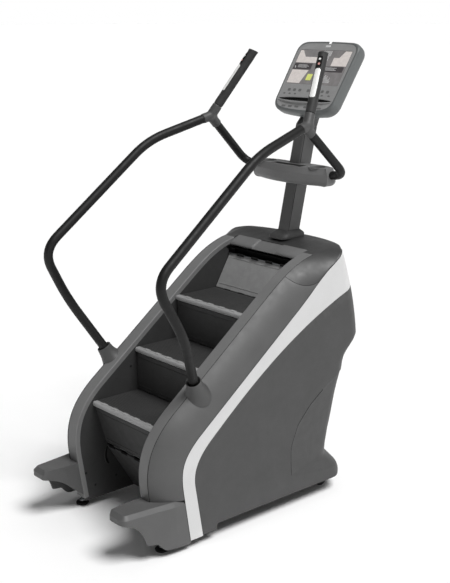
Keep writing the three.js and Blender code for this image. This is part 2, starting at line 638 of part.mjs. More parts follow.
// The frame of a grip: along it from its foot, with its sensor turned back and a little outward.
function gripFrame(side) {
  const base = mirror(side, GRIP_FOOT);
  const along = new THREE.Vector3().subVectors(mirror(side, GRIP_TOP), base).normalize();
  const toUser = at(0.4 * side, -0.92, 0.1);
  const across = new THREE.Vector3().crossVectors(toUser, along).normalize();
  const face = new THREE.Vector3().crossVectors(along, across).normalize();
  const turn = new THREE.Matrix4().makeBasis(across, face, along);
  return turn.setPosition(base.clone().addScaledVector(along, GAP));
}

function placed(solid, matrix) {
  return toSolid(toGeometry(solid).applyMatrix4(matrix));
}

function sensorSector(inner, outer, low, high, half) {
  const ring = rod(at(0, 0, low), at(0, 0, high), outer, 32)
    .subtract(rod(at(0, 0, low - 1), at(0, 0, high + 1), inner, 32));
  return ring.intersect(box(-half, half, 5, 60, low - 2, high + 2));
}

function addGrip(name, side) {
  const frame = gripFrame(side);
  const length = GRIP_TOP.distanceTo(GRIP_FOOT);
  const bar = rod(at(0, 0, 0), at(0, 0, length - 8), GRIP_R, 24);
  const cap = rod(at(0, 0, length - 8), at(0, 0, length), GRIP_R, 24, GRIP_R - 7);
  const strip = sensorSector(21.5, GRIP_R + 1.2, 50, 190, 15);
  const groove = sensorSector(21.5 - GAP, GRIP_R + 3, 50 - GAP, 190 + GAP, 15 + GAP);
  const buttons = [[215, 'upper', BUTTON_RED], [240, 'top', SENSOR_WHITE]];
  const wells = buttons.map(([z]) => rod(at(0, 12, z), at(0, 40, z), BUTTON_R + 0.5, 16));
  add(`${name}_grip`, placed(cutBy(joined(bar, cap), groove, ...wells), frame), RUBBER);
  add(`${name}_pulse_sensor`, placed(strip, frame), SENSOR_WHITE);
  for (const [z, label, look] of buttons) {
    const button = rod(at(0, 15, z), at(0, GRIP_R + 2.2, z), BUTTON_R, 16);
    add(`${name}_${label}_button`, placed(button, frame), look);
  }
}

function addHandrails() {
  for (const [name, side] of SIDES) {
    const rail = bentPath(RAIL_POINTS.map((p) => mirror(side, p)), 95);
    const railEnd = rod(onRail(side, -90), onRail(side, 10), TUBE_R, 12);
    add(`${name}_handrail`, joined(toSolid(tube(rail, TUBE_R, 44)), railEnd)
      .subtract(housing(-GAP, 40)), RAIL_BLACK);
    add(`${name}_rail_collar`, collar(side), JOINT_GREY);
    add(`${name}_y_joint`, yJoint(side), JOINT_GREY);
    const branch = bentPath([JOINT_LOW, TRAY_BEND, TRAY_END].map((p) => mirror(side, p)), 60);
    add(`${name}_lower_tube`, tube(branch, TUBE_R - 1, 18), RAIL_BLACK);
    addGrip(name, side);
  }
}

// ---------------------------------------------------------------- mast, tray and console
function mastBoot() {
  const outer = [flat(66, -92), flat(66, 84), flat(-66, 84), flat(-66, -92)];
  const boot = plate(outer, 0, 78, 26);
  const lifted = toSolid(toGeometry(boot).translate(0, 1022, 1158));
  return cutBy(lifted, mastSolid(GAP), housing(-GAP, 40));
}

function tray() {
  const plan = new THREE.Path();
  plan.moveTo(250, 1030);
  plan.lineTo(250, 1088);
  plan.quadraticCurveTo(210, 1128, 130, 1128);
  plan.lineTo(-130, 1128);
  plan.quadraticCurveTo(-210, 1128, -250, 1088);
  plan.lineTo(-250, 1030);
  plan.quadraticCurveTo(0, 925, 250, 1030);
  const body = plate(plan.getPoints(10), TRAY_LOW, TRAY_TOP, 8);
  const cups = SIDES.map(([, side]) => rod(at(side * 165, 1050, TRAY_LOW + 12),
    at(side * 165, 1050, TRAY_TOP + 10), 38, 28));
  const shelf = box(-105, 105, 1000, 1044, TRAY_TOP - 22, TRAY_TOP + 10);
  const slot = box(-MAST_WIDE / 2 - 1, MAST_WIDE / 2 + 1, 1080, 1200, TRAY_LOW - 20, TRAY_TOP + 20);
  return cutBy(body, ...cups, shelf, slot, mastSolid(1));
}

// A point on the console: sideways, up its face, and out of its face towards the user.
function consoleFrame() {
  const right = at(1, 0, 0);
  const up = at(0, Math.sin(CONSOLE_LEAN), Math.cos(CONSOLE_LEAN));
  const out = new THREE.Vector3().crossVectors(right, up);
  return new THREE.Matrix4().makeBasis(right, up, out).setPosition(CONSOLE_AT);
}

function consoleOutline(inset) {
  const half = CONSOLE_HALF - inset;
  const low = CONSOLE_LOW + inset;
  const high = CONSOLE_HIGH - inset;
  const path = new THREE.Path();
  path.moveTo(half - 62, low + 10);
  path.quadraticCurveTo(half - 12, low + 18, half - 6, low + 62);
  path.lineTo(half, high - 60);
  path.quadraticCurveTo(half + 2, high - 6, half - 56, high - 2);
  path.quadraticCurveTo(0, high + 4, 56 - half, high - 2);
  path.quadraticCurveTo(-half - 2, high - 6, -half, high - 60);
  path.lineTo(6 - half, low + 62);
  path.quadraticCurveTo(12 - half, low + 18, 62 - half, low + 10);
  path.quadraticCurveTo(0, low - 8, half - 62, low + 10);
  return path.getPoints(6);
}

function addConsole() {
  const frame = consoleFrame();
  const notch = box(-11, 11, CONSOLE_HIGH - 4, CONSOLE_HIGH + 40, -14, 40);
  const back = plate(consoleOutline(-5), -CONSOLE_DEEP, 0, 12)
    .subtract(plate(consoleOutline(8), -CONSOLE_DEEP + 8, 20));
  add('console_shell', placed(back.subtract(notch), frame), SHELL_GREY);
  const opening = (grow, z0, z1) => box(-SCREEN_HALF - grow, SCREEN_HALF + grow, SCREEN_LOW - grow,
    SCREEN_HIGH + grow, z0, z1);
  const shelf = box(-170, 170, -24, -14, -1, 14);
  const face = plate(consoleOutline(8 + GAP), -10, 2).add(shelf).subtract(opening(GAP, -20, 20));
  add('console_face', placed(face, frame), CONSOLE_GREY);
  add('console_screen', placed(opening(0, -6, 1), frame), GLASS);
  add('console_neck', consoleNeck(), JOINT_GREY);
}

// Bracket that widens from the top of the mast to the back of the console.
function consoleNeck() {
  const behind = (v) => at(0, v, -CONSOLE_DEEP - GAP).applyMatrix4(consoleFrame());
  const top = at(0, 0, MAST_LENGTH + GAP).applyAxisAngle(at(1, 0, 0), -MAST_LEAN).add(MAST_FOOT);
  const reach = at(0, MAST_DEEP / 2, 0).applyAxisAngle(at(1, 0, 0), -MAST_LEAN);
  const ring = (front, rear, half) => [at(-half, front.y, front.z), at(half, front.y, front.z),
    at(half, rear.y, rear.z), at(-half, rear.y, rear.z)];
  return loft([ring(top.clone().sub(reach), top.clone().add(reach), MAST_WIDE / 2),
    ring(behind(-86), behind(88), 62)]);
}

function addMast() {
  add('mast', mastSolid(0), MAST_GREY);
  add('mast_boot', mastBoot(), JOINT_GREY);
  add('accessory_tray', tray(), finish('#636363', 0.5));
}

addHousing();
addFrame();
addStair();
addDrive();
addHandrails();
addMast();
addConsole();

const bounds = new THREE.Box3().setFromObject(assembly);
assembly.position.y = -(bounds.min.y + bounds.max.y) / 2;

export default assembly;
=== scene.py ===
# Looks of the stair climber: finer covers, handrails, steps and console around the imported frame.
# Shapes are worked out in the part's own millimetres and placed in the row frame in metres.
import math

import bmesh
import bpy
import numpy as np
from mathutils import Matrix, Quaternion, Vector


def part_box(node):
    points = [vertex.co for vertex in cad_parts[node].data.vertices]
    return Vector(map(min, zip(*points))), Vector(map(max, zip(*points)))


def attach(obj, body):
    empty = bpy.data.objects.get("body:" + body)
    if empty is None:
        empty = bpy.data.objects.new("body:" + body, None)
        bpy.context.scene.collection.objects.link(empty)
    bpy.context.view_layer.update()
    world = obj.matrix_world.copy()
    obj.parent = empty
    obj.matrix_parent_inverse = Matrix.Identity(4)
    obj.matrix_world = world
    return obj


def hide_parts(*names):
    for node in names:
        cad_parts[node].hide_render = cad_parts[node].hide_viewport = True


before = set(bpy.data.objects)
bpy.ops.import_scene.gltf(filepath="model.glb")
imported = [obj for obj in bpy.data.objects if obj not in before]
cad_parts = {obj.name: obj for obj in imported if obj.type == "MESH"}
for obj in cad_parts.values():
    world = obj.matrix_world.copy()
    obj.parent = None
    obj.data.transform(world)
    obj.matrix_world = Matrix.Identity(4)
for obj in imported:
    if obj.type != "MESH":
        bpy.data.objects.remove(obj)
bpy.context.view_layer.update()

# ---------------------------------------------------------------- the part's dimensions, mm
GAP = 0.3                        # room between two pieces that meet
SKIN = 4                         # thickness of the moulded covers
WELL_HALF = 238                  # half widths of the stair well, the border's outside and the housing
BORDER_HALF = 302
BODY_HALF = 385
SHOULDER_DEPTH = 118             # how far the rolled shoulder drops towards the side
HOOD_TOP = 1192
FADE_START, FADE_END, FADE_LEFT = 640, 1010, 0.1     # along Y, where the shoulder flattens out
STUB_TOP = 240                   # top of the foot covers
STRIPE_FOOT, SIDE_FOOT, SIDE_BOTTOM, BOTTOM_STEP = 41, 47, 74, 245
REAR_HALF, REAR_BOTTOM, REAR_TOP = 150, 62, 1176.4
CORNER_WIDE, CORNER_DEEP, CORNER_STRETCH = 325, 155, 1.6
LEAN_START, LEAN_SPAN = 450, 400                     # along Y, where the covers take up the rear's lean
BORDER_SKIRT = 24                # how far the border turns down into the well
BORDER_END = 893                 # the border runs past the lip's lower edge along Y
SEAM = 1.6                       # the shadow gap that shows between two covers
HOOD_SIDE_START, HOOD_START = 905, 926               # along Y, where the hood's straight sides start
LIP_REAR, LIP_FRONT, LIP_DIP = 924, 866, 17
FOOT_OUTSIDE = 330               # past this X the foot cover's wall faces outwards
FOOT_REAR, FOOT_WELL_REAR = 57, -58                  # where its outer and inner walls end along Y
FOOT_CHAMFER = [(17, 0), (15.6, 0.8), (1.4, 16), (0, 17.5)]     # (inset, drop) from its flat top
RISE, RUN, STEP_HALF = 208, 245, 235
NOSE_TOP = (524, 935)
TUBE_R = 21
SIDES = (("left", -1), ("right", 1))

low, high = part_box("left_front_foot")
FEET_Y = (low.y + high.y) / 2


def place(point):
    """A point of the part in mm, whose Y starts at the front feet, as a point of the frame in metres."""
    return Vector((point[0] / 1000, point[1] / 1000 + FEET_Y, point[2] / 1000))


# ---------------------------------------------------------------- mesh tools
def piece_from(name, points, faces):
    mesh = bpy.data.meshes.new(name)
    mesh.from_pydata([place(p) for p in points], [], faces)
    piece = bpy.data.objects.new(name, mesh)
    bpy.context.scene.collection.objects.link(piece)
    return piece


def tidy_mesh(piece, merge=2e-5):
    work = bmesh.new()
    work.from_mesh(piece.data)
    bmesh.ops.remove_doubles(work, verts=work.verts, dist=merge)
    bmesh.ops.dissolve_degenerate(work, edges=work.edges, dist=1e-6)
    bmesh.ops.recalc_face_normals(work, faces=work.faces)
    work.to_mesh(piece.data)
    work.free()
    return piece


def face_away(piece, inner):
    """Turns an open sheet's faces away from a point inside the object."""
    inner = place(inner)
    total = sum((p.center - inner).dot(p.normal) * p.area for p in piece.data.polygons)
    if total < 0:
        piece.data.flip_normals()
    return piece


def grid(name, rows, inner=(0, 520, 420)):
    """A sheet over rows of points, facing away from a point inside the object."""
    count = len(rows[0])
    points = [p for row in rows for p in row]
    faces = []
    for i in range(len(rows) - 1):
        for j in range(count - 1):
            a = i * count + j
            faces.append((a, a + 1, a + count + 1, a + count))
    return face_away(tidy_mesh(piece_from(name, points, faces)), inner)


def loft(name, rings, closed_ends=True):
    """A skin over closed rings of points."""
    count = len(rings[0])
    points = [p for ring in rings for p in ring]
    faces = []
    for i in range(len(rings) - 1):
        for j in range(count):
            a = i * count + j
            b = i * count + (j + 1) % count
            faces.append((a, b, b + count, a + count))
    if closed_ends:
        faces.append(tuple(range(count)))
        faces.append(tuple(range(len(points) - count, len(points))))
    return tidy_mesh(piece_from(name, points, faces))


def slab(name, outline, x0, x1):
    """An outline drawn in Y and Z, carried along X."""
    return loft(name, [[(x, y, z) for y, z in outline] for x in (x0, x1)])


def plate(name, outline, z0, z1):
    """An outline drawn in X and Y, carried up along Z."""
    return loft(name, [[(x, y, z) for x, y in outline] for z in (z0, z1)])


def joined(first, *others):
    """Several pieces' meshes in one piece."""
    work = bmesh.new()
    for piece in (first, *others):
        work.from_mesh(piece.data)
    work.to_mesh(first.data)
    work.free()
    for piece in others:
        bpy.data.objects.remove(piece)
    return first


def applied(piece):
    """Makes the piece's modifiers part of its mesh."""
    graph = bpy.context.evaluated_depsgraph_get()
    mesh = bpy.data.meshes.new_from_object(piece.evaluated_get(graph))
    piece.modifiers.clear()
    piece.data = mesh
    return piece


def carved(piece, *tools, operation="DIFFERENCE"):
    """Cuts the tools out of the piece, or welds them on, and removes them."""
    for tool in tools:
        cut = piece.modifiers.new("cut", "BOOLEAN")
        cut.operation = operation
        cut.solver = "MANIFOLD"
        cut.object = tool
        bpy.context.view_layer.update()
        applied(piece)
        bpy.data.objects.remove(tool)
    return piece


def thick(piece, depth=SKIN):
    """Gives an open sheet its wall, on the inside."""
    skin = piece.modifiers.new("skin", "SOLIDIFY")
    skin.thickness = depth / 1000
    skin.offset = -1
    skin.use_even_offset = False
    return applied(piece)


def rounded(piece, width=0.8, steps=2, angle=38):
    """Rounds the piece's sharp edges and shades it smooth."""
    if width:
        bevel = piece.modifiers.new("edge", "BEVEL")
        bevel.width = width / 1000
        bevel.segments = steps
        bevel.limit_method = "ANGLE"
        bevel.angle_limit = math.radians(angle)
        bevel.use_clamp_overlap = True
        applied(piece)
    piece.data.polygons.foreach_set("use_smooth", [True] * len(piece.data.polygons))
    piece.data.set_sharp_from_angle(angle=math.radians(angle))
    even = piece.modifiers.new("even", "WEIGHTED_NORMAL")
    even.keep_sharp = True
    even.weight = 60
    return applied(piece)


def lathe(name, profile, centre, axis=(0, 0, 1), turns=40):
    """A profile of (distance along the axis, radius) turned about an axis through the centre."""
    along = Vector(axis).normalized()
    across = along.orthogonal().normalized()
    third = along.cross(across)
    rings = []
    for distance, radius in profile:
        ring = []
        for k in range(turns):
            angle = 2 * math.pi * k / turns
            out = across * math.cos(angle) + third * math.sin(angle)
            ring.append(Vector(centre) + along * distance + out * max(radius, 0.01))
        rings.append(ring)
    return loft(name, rings)


def bezier(points, steps):
    """A Bezier curve with the points as its controls."""
    points = [np.array(p, float) for p in points]
    found = []
    for k in range(steps + 1):
        level = points
        while len(level) > 1:
            level = [a + (b - a) * k / steps for a, b in zip(level, level[1:])]
        found.append(level[0])
    return found


def spline(points, steps):
    """A uniform Catmull-Rom curve through the points."""
    points = [np.array(p, float) for p in points]
    found = []
    for k in range(steps + 1):
        spot = (len(points) - 1) * k / steps
        i = min(int(spot), len(points) - 2)
        t = spot - i
        p1, p2 = points[i], points[i + 1]
        p0 = points[i - 1] if i else p1 * 2 - p2
        p3 = points[i + 2] if i + 2 < len(points) else p2 * 2 - p1
        v1, v2 = (p2 - p0) / 2, (p3 - p1) / 2
        found.append((2 * p1 - 2 * p2 + v1 + v2) * t ** 3
                     + (-3 * p1 + 3 * p2 - 2 * v1 - v2) * t ** 2 + v1 * t + p1)
    return found


def resampled(line, count, start=0.0, end=None):
    """Even points along a line between two places given as fractional indices."""
    line = np.array(line, float)
    end = len(line) - 1 if end is None else end
    index = np.arange(len(line))
    inside = index[(index > start + 1e-6) & (index < end - 1e-6)]
    keys = np.concatenate([[start], inside, [end]])
    kept = np.stack([np.interp(keys, index, line[:, k]) for k in range(line.shape[1])], 1)
    length = np.concatenate([[0], np.cumsum(np.linalg.norm(np.diff(kept, axis=0), axis=1))])
    spots = np.linspace(0, length[-1], count)
    return np.stack([np.interp(spots, length, kept[:, k]) for k in range(line.shape[1])], 1)


def crossing(line, measure):
    """Fractional index where a measure along the line first turns positive."""
    values = [measure(p) for p in line]
    for i in range(len(values) - 1):
        if values[i] <= 0 < values[i + 1]:
            return i - values[i] / (values[i + 1] - values[i])
    return len(line) - 1.0


def meeting(line, other):
    """Fractional index on the line where it first crosses the other line."""
    for i in range(len(line) - 1):
        p, r = line[i], line[i + 1] - line[i]
        for j in range(len(other) - 1):
            q, s = other[j], other[j + 1] - other[j]
            bottom = r[0] * s[1] - r[1] * s[0]
            if abs(bottom) < 1e-9:
                continue
            t = ((q - p)[0] * s[1] - (q - p)[1] * s[0]) / bottom
            u = ((q - p)[0] * r[1] - (q - p)[1] * r[0]) / bottom
            if 0 <= t <= 1 and 0 <= u <= 1:
                return i + t
    return len(line) - 1.0


def bent_path(points, radius, steps=14):
    """A path through the points with each corner rounded, as even 3D points."""
    points = [np.array(p, float) for p in points]
    path = [points[0]]
    for before, corner, after in zip(points, points[1:], points[2:]):
        start = corner + (before - corner) / np.linalg.norm(before - corner) * radius
        end = corner + (after - corner) / np.linalg.norm(after - corner) * radius
        path += bezier([start, corner, end], steps)
    path.append(points[-1])
    return resampled(path, 90)


def tube(name, path, radius, sides=32):
    """A round bar along a path; the radius may change along it as a function of 0 to 1."""
    path = [Vector(p) for p in path]
    up = None
    rings = []
    for i, point in enumerate(path):
        along = (path[min(i + 1, len(path) - 1)] - path[max(i - 1, 0)]).normalized()
        up = along.orthogonal().normalized() if up is None else (up - along * up.dot(along)).normalized()
        third = along.cross(up)
        size = radius(i / (len(path) - 1)) if callable(radius) else radius
        rings.append([point + (up * math.cos(a) + third * math.sin(a)) * size
                      for a in (2 * math.pi * k / sides for k in range(sides))])
    return loft(name, rings)


# ---------------------------------------------------------------- materials
def linear(code):
    channels = [int(code[i:i + 2], 16) / 255 for i in (1, 3, 5)]
    return [c / 12.92 if c <= 0.04045 else ((c + 0.055) / 1.055) ** 2.4 for c in channels]


def shade_of(code, factor):
    return tuple(min(1, c * factor) for c in linear(code)) + (1,)


class Looks:
    """Builds node materials out of a few plain steps."""

    def __init__(self, name, roughness=0.5, metallic=0.0, coat=0.0, specular=0.5):
        self.material = bpy.data.materials.new(name)
        self.material.use_nodes = True
        self.nodes = self.material.node_tree.nodes
        self.links = self.material.node_tree.links
        self.shader = self.nodes["Principled BSDF"]
        self.shader.inputs["Metallic"].default_value = metallic
        self.shader.inputs["Coat Weight"].default_value = coat
        self.shader.inputs["Roughness"].default_value = roughness
        self.shader.inputs["Specular IOR Level"].default_value = specular
        self.place = self.nodes.new("ShaderNodeTexCoord").outputs["Object"]
        self.height = None

    def noise(self, scale, detail=4, stretch=(1, 1, 1), rough=0.6):
        mapping = self.nodes.new("ShaderNodeMapping")
        mapping.inputs["Scale"].default_value = stretch
        self.links.new(self.place, mapping.inputs["Vector"])
        noise = self.nodes.new("ShaderNodeTexNoise")
        noise.inputs["Scale"].default_value = scale
        noise.inputs["Detail"].default_value = detail
        noise.inputs["Roughness"].default_value = rough
        self.links.new(mapping.outputs["Vector"], noise.inputs["Vector"])
        return noise.outputs["Fac"]

    def cells(self, scale, feature="F1"):
        cells = self.nodes.new("ShaderNodeTexVoronoi")
        cells.feature = feature
        cells.inputs["Scale"].default_value = scale
        self.links.new(self.place, cells.inputs["Vector"])
        return cells.outputs["Distance"]

    def ramp(self, value, stops):
        ramp = self.nodes.new("ShaderNodeValToRGB")
        for k, (spot, colour) in enumerate(stops):
            if k > 1:
                ramp.color_ramp.elements.new(spot)
            ramp.color_ramp.elements[k].position = spot
            ramp.color_ramp.elements[k].color = colour
        self.links.new(value, ramp.inputs["Fac"])
        return ramp.outputs["Color"]

    def spread(self, value, low, high, span=(0.25, 0.75)):
        spread = self.nodes.new("ShaderNodeMapRange")
        spread.inputs["From Min"].default_value = span[0]
        spread.inputs["From Max"].default_value = span[1]
        spread.inputs["To Min"].default_value = low
        spread.inputs["To Max"].default_value = high
        self.links.new(value, spread.inputs["Value"])
        return spread.outputs["Result"]

    def mixed(self, factor, first, second, blend="MIX"):
        mix = self.nodes.new("ShaderNodeMix")
        mix.data_type = "RGBA"
        mix.blend_type = blend
        for socket, value in ((mix.inputs["Factor"], factor), (mix.inputs["A"], first),
                              (mix.inputs["B"], second)):
            if hasattr(value, "is_linked"):
                self.links.new(value, socket)
            else:
                socket.default_value = value
        return mix.outputs["Result"]

    def colour(self, value):
        self.links.new(value, self.shader.inputs["Base Color"])

    def rough(self, value):
        self.links.new(value, self.shader.inputs["Roughness"])

    def bump(self, value, depth, strength=1.0):
        bump = self.nodes.new("ShaderNodeBump")
        bump.inputs["Strength"].default_value = strength
        bump.inputs["Distance"].default_value = depth / 1000
        self.links.new(value, bump.inputs["Height"])
        if self.height:
            self.links.new(self.height, bump.inputs["Normal"])
        self.height = bump.outputs["Normal"]
        self.links.new(self.height, self.shader.inputs["Normal"])

    def worn(self, base, lighter, amount):
        """Rubbed paint on the piece's convex edges, broken up by noise."""
        edges = self.nodes.new("ShaderNodeNewGeometry").outputs["Pointiness"]
        edge = self.spread(edges, 0, amount, (0.52, 0.62))
        patch = self.spread(self.noise(40, 5), 0, 1, (0.4, 0.65))
        both = self.nodes.new("ShaderNodeMath")
        both.operation = "MULTIPLY"
        self.links.new(edge, both.inputs[0])
        self.links.new(patch, both.inputs[1])
        return self.mixed(both.outputs[0], base, lighter)


def moulded(name, code, roughness=0.5, grain=1400, depth=0.05, mottle=0.07, wear=0.35,
            metallic=0.0, coat=0.0, specular=0.45):
    """Textured or painted moulded plastic: orange peel, faint clouding, smudges, rubbed edges."""
    looks = Looks(name, roughness, metallic, coat, specular)
    cloud = looks.ramp(looks.noise(6, 5), [(0.3, shade_of(code, 1 - mottle)),
                                           (0.7, shade_of(code, 1 + mottle))])
    speck = looks.ramp(looks.noise(grain, 2), [(0.3, (0.9, 0.9, 0.9, 1)), (0.7, (1.06, 1.06, 1.06, 1))])
    base = looks.mixed(1.0, cloud, speck, "MULTIPLY")
    looks.colour(looks.worn(base, shade_of(code, 1.5), wear))
    looks.rough(looks.spread(looks.noise(22, 6), roughness - 0.07, roughness + 0.09))
    looks.bump(looks.noise(grain, 3), depth)
    looks.bump(looks.noise(14, 2), 0.06, 0.3)
    return looks.material


def powder_coated(name, code, roughness=0.35):
    """Black powder coat on bent tube: fine orange peel and scuffs drawn along the bar."""
    looks = Looks(name, roughness, specular=0.35)
    cloud = looks.ramp(looks.noise(18, 4), [(0.3, shade_of(code, 0.85)), (0.7, shade_of(code, 1.18))])
    looks.colour(looks.worn(cloud, shade_of(code, 2.2), 0.3))
    looks.rough(looks.spread(looks.noise(60, 5), roughness - 0.06, roughness + 0.14))
    looks.bump(looks.cells(900), 0.05)
    looks.bump(looks.noise(90, 3), 0.08, 0.5)
    return looks.material


def rubber(name, code, roughness=0.8, grain=700, depth=0.12):
    looks = Looks(name, roughness, specular=0.35)
    dust = looks.noise(30, 6)
    base = looks.ramp(dust, [(0.35, shade_of(code, 0.8)), (0.75, shade_of(code, 1.35))])
    looks.colour(looks.worn(base, shade_of(code, 2.0), 0.3))
    looks.rough(looks.spread(dust, roughness - 0.1, min(roughness + 0.12, 1)))
    looks.bump(looks.cells(grain), depth)
    return looks.material


def brushed_steel(name, code):
    looks = Looks(name, 0.35, metallic=1.0)
    streak = looks.noise(300, 4, (0.03, 1, 1))
    looks.colour(looks.ramp(streak, [(0.3, shade_of(code, 0.75)), (0.7, shade_of(code, 1.1))]))
    looks.rough(looks.spread(streak, 0.25, 0.5))
    looks.bump(streak, 0.04)
    return looks.material


def dark_glass(name, code):
    """Display window: gloss with a very slight ripple, dust and finger smears."""
    looks = Looks(name, 0.12, coat=0.6, specular=0.6)
    smear = looks.noise(26, 5, (1, 1, 0.4))
    looks.colour(looks.ramp(smear, [(0.35, shade_of(code, 0.85)), (0.75, shade_of(code, 1.2))]))
    looks.rough(looks.spread(smear, 0.08, 0.26))
    looks.bump(looks.noise(12, 2), 0.05, 0.4)
    return looks.material


def printed(name, code, roughness=0.45, glow=0.0):
    """Screen-printed or lit area of the console's face."""
    looks = Looks(name, roughness, coat=0.2, specular=0.4)
    tone = looks.ramp(looks.noise(70, 4), [(0.3, shade_of(code, 0.92)), (0.7, shade_of(code, 1.06))])
    looks.colour(tone)
    looks.rough(looks.spread(looks.noise(40, 4), roughness - 0.06, roughness + 0.08))
    looks.bump(looks.noise(1200, 2), 0.02)
    if glow:
        looks.links.new(tone, looks.shader.inputs["Emission Color"])
        looks.shader.inputs["Emission Strength"].default_value = glow
    return looks.material


FINISHES = {
    "border_grey": moulded("border_grey", "#727272", 0.5),
    "shoulder_grey": moulded("shoulder_grey", "#535353", 0.47),
    "side_grey": moulded("side_grey", "#434343", 0.55, grain=1100, depth=0.07),
    "stripe_silver": moulded("stripe_silver", "#cccccc", 0.38, grain=1600, depth=0.03, mottle=0.03,
                             wear=0.1),
    # The hood shares the shoulder's paint; this darker copy is partly painted shade for the dimly lit top.
    "hood_grey": moulded("hood_grey", "#404040", 0.45, metallic=0.1),
    "well_black": moulded("well_black", "#333333", 0.62, grain=900, depth=0.12),
    "cover_grey": moulded("cover_grey", "#565656", 0.5),
    "joint_grey": moulded("joint_grey", "#484848", 0.5),
    "rail_black": powder_coated("rail_black", "#0c0c0c", 0.5),
    "grip_rubber": rubber("grip_rubber", "#303030", 0.62, grain=900, depth=0.1),
    "sensor_white": printed("sensor_white", "#f0f0ee", 0.3),
    "button_red": printed("button_red", "#d39a94", 0.35),
    "mast_grey": moulded("mast_grey", "#525252", 0.45),
    "tray_grey": moulded("tray_grey", "#6a6a6a", 0.5),
    "console_shell_grey": moulded("console_shell_grey", "#626565", 0.46),
    "console_face_grey": moulded("console_face_grey", "#969696", 0.42, grain=1600, depth=0.03),
    "screen_glass": dark_glass("screen_glass", "#8e8b8b"),
    "step_black": moulded("step_black", "#343434", 0.6, grain=800, depth=0.16),
    "riser_grey": moulded("riser_grey", "#989898", 0.5),
    "frame_black": powder_coated("frame_black", "#202020", 0.45),
    "steel": brushed_steel("steel", "#9a9c9e"),
    "foot_rubber": rubber("foot_rubber", "#151515", 0.8),
    "control_box_black": moulded("control_box_black", "#2c2c2c", 0.6, grain=700, depth=0.14),
}
SHADOW = rubber("shadow_black", "#090909", 0.9)
# Printed colours of the console's face; the cream one is painted reflection on the screen.
PRINT_AND_REFLECTION = {
    "cream": printed("painted_reflection_cream", "#ece4e0", 0.35),
    "dark": printed("panel_dark", "#4f4b4d", 0.4),
    "pale": printed("panel_pale", "#dedede", 0.45),
    "key": printed("panel_key", "#eff68a", 0.4),
}


def settled(piece, body, slot, *nodes, material=None):
    """Gives the piece its finish, from the slot unless a material is given, puts it on its body and hides
    the CAD nodes that it stands for.
    """
    piece.data.materials.clear()
    piece.data.materials.append(material or FINISHES[slot])
    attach(piece, body)
    if nodes:
        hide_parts(*nodes)
    return piece


def screw(name, spot, axis, radius=5, body="frame", slot="foot_rubber", material=None):
    """A button-head screw with a round socket."""
    head = lathe(name, [(-1, radius), (0.8, radius), (1.9, radius * 0.82), (2.4, radius * 0.5),
                        (2.4, radius * 0.42), (0.9, radius * 0.38)], spot, axis, 24)
    return settled(rounded(head, 0), body, slot, material=material)


# ---------------------------------------------------------------- housing lines (Y, Z)
def housing_edge():
    """The housing's profile beside the well: up from the toe, over the shoulder, to the hood's rear."""
    line = list(resampled([(-18, -24), (-30, 54), (-62, 262)], 20)[:-1])
    line += bezier([(-62, 262), (-85, 410), (-45, 506), (80, 605)], 30)[:-1]
    line += list(resampled([(80, 605), (560, 978)], 30)[:-1])
    line += bezier([(560, 978), (680, 1071), (770, 1150), (920, 1172)], 34)[:-1]
    line += bezier([(920, 1172), (980, 1183), (1010, HOOD_TOP), (1060, HOOD_TOP)], 14)
    line += [(y, HOOD_TOP) for y in (1100, 1150, 1220, 1300, 1400)]
    return np.array(line, float)


def normals_of(line):
    """Unit vectors across a line, to the right of the way it runs."""
    along = np.gradient(line, axis=0)
    along /= np.linalg.norm(along, axis=1)[:, None]
    return np.stack([along[:, 1], -along[:, 0]], 1)


EDGE = housing_edge()
INWARD = normals_of(EDGE)
# how much of the shoulder's depth is left at each point of the edge
SHARE = FADE_LEFT + (1 - FADE_LEFT) * np.cos(
    np.clip((EDGE[:, 0] - FADE_START) / (FADE_END - FADE_START), 0, 1) * math.pi / 2)


def below_edge(depth, extra=0.0):
    """The housing edge moved inwards by a depth that fades with the shoulder, plus a fixed part."""
    return EDGE + INWARD * (depth * SHARE + extra)[:, None]


# the covers' shared seams and the rear panel's profile, each as (y, z) points
STRIPE_UPPER = below_edge(SHOULDER_DEPTH, 3)
STRIPE_LOWER = np.array(
    list(resampled([(172, 0), (124, 280)], 14)[:-1])
    + bezier([(124, 280), (112, 350), (134, 408), (220, 478)], 24)[:-1]
    + bezier([(220, 478), (430, 655), (690, 860), (1062, 996)], 44)[:-1]
    + list(resampled([(1062, 996), (1300, 1070)], 12)))
REAR_LINE = np.array(spline([
    (1128, 52), (1130, 104), (1084, 180), (1083, 225), (1110, 400), (1132, 560), (1150, 665),
    (1222, 745), (1228, 800), (1196, 960), (1140, 1130), (1112, HOOD_TOP)], 88))
HOOD_SEAM = np.array([(690, 1300), (712, 1100)]
                     + bezier([(712, 1100), (745, 1042), (830, 1030), (893, 1093)], 24)[1:]
                     + [p for p in STRIPE_UPPER if p[0] > 905])
SHOULDER_SECTION = bezier([(BORDER_HALF + SEAM, 0), (352, 40), (BODY_HALF, SHOULDER_DEPTH)], 14)


def rear_at(z):
    return float(np.interp(z, REAR_LINE[:, 1], REAR_LINE[:, 0]))


def wrap(y, z):
    """Place along the side and round the rear corner, measured from where the corner starts."""
    past = y - (rear_at(z) - CORNER_DEEP)
    if past <= 0:
        return past
    return CORNER_DEEP * CORNER_STRETCH * math.asin(min(past / CORNER_DEEP, 1))


def unwrap(r, z):
    """X and Y of the place that wrap() measures as r."""
    start = rear_at(z) - CORNER_DEEP
    if r <= 0:
        return BODY_HALF, start + r
    angle = r / (CORNER_DEEP * CORNER_STRETCH)
    return (BODY_HALF - CORNER_WIDE + CORNER_WIDE * math.cos(angle),
            start + CORNER_DEEP * math.sin(angle))


CORNER_END = CORNER_DEEP * CORNER_STRETCH * math.acos(
    (REAR_HALF + GAP - BODY_HALF + CORNER_WIDE) / CORNER_WIDE)
HOOD_CORNER = rear_at(HOOD_TOP) - CORNER_DEEP
SECTION_X, SECTION_DEPTH = np.array(SHOULDER_SECTION).T


def wrapped(line):
    return np.array([(wrap(y, z), z) for y, z in line])




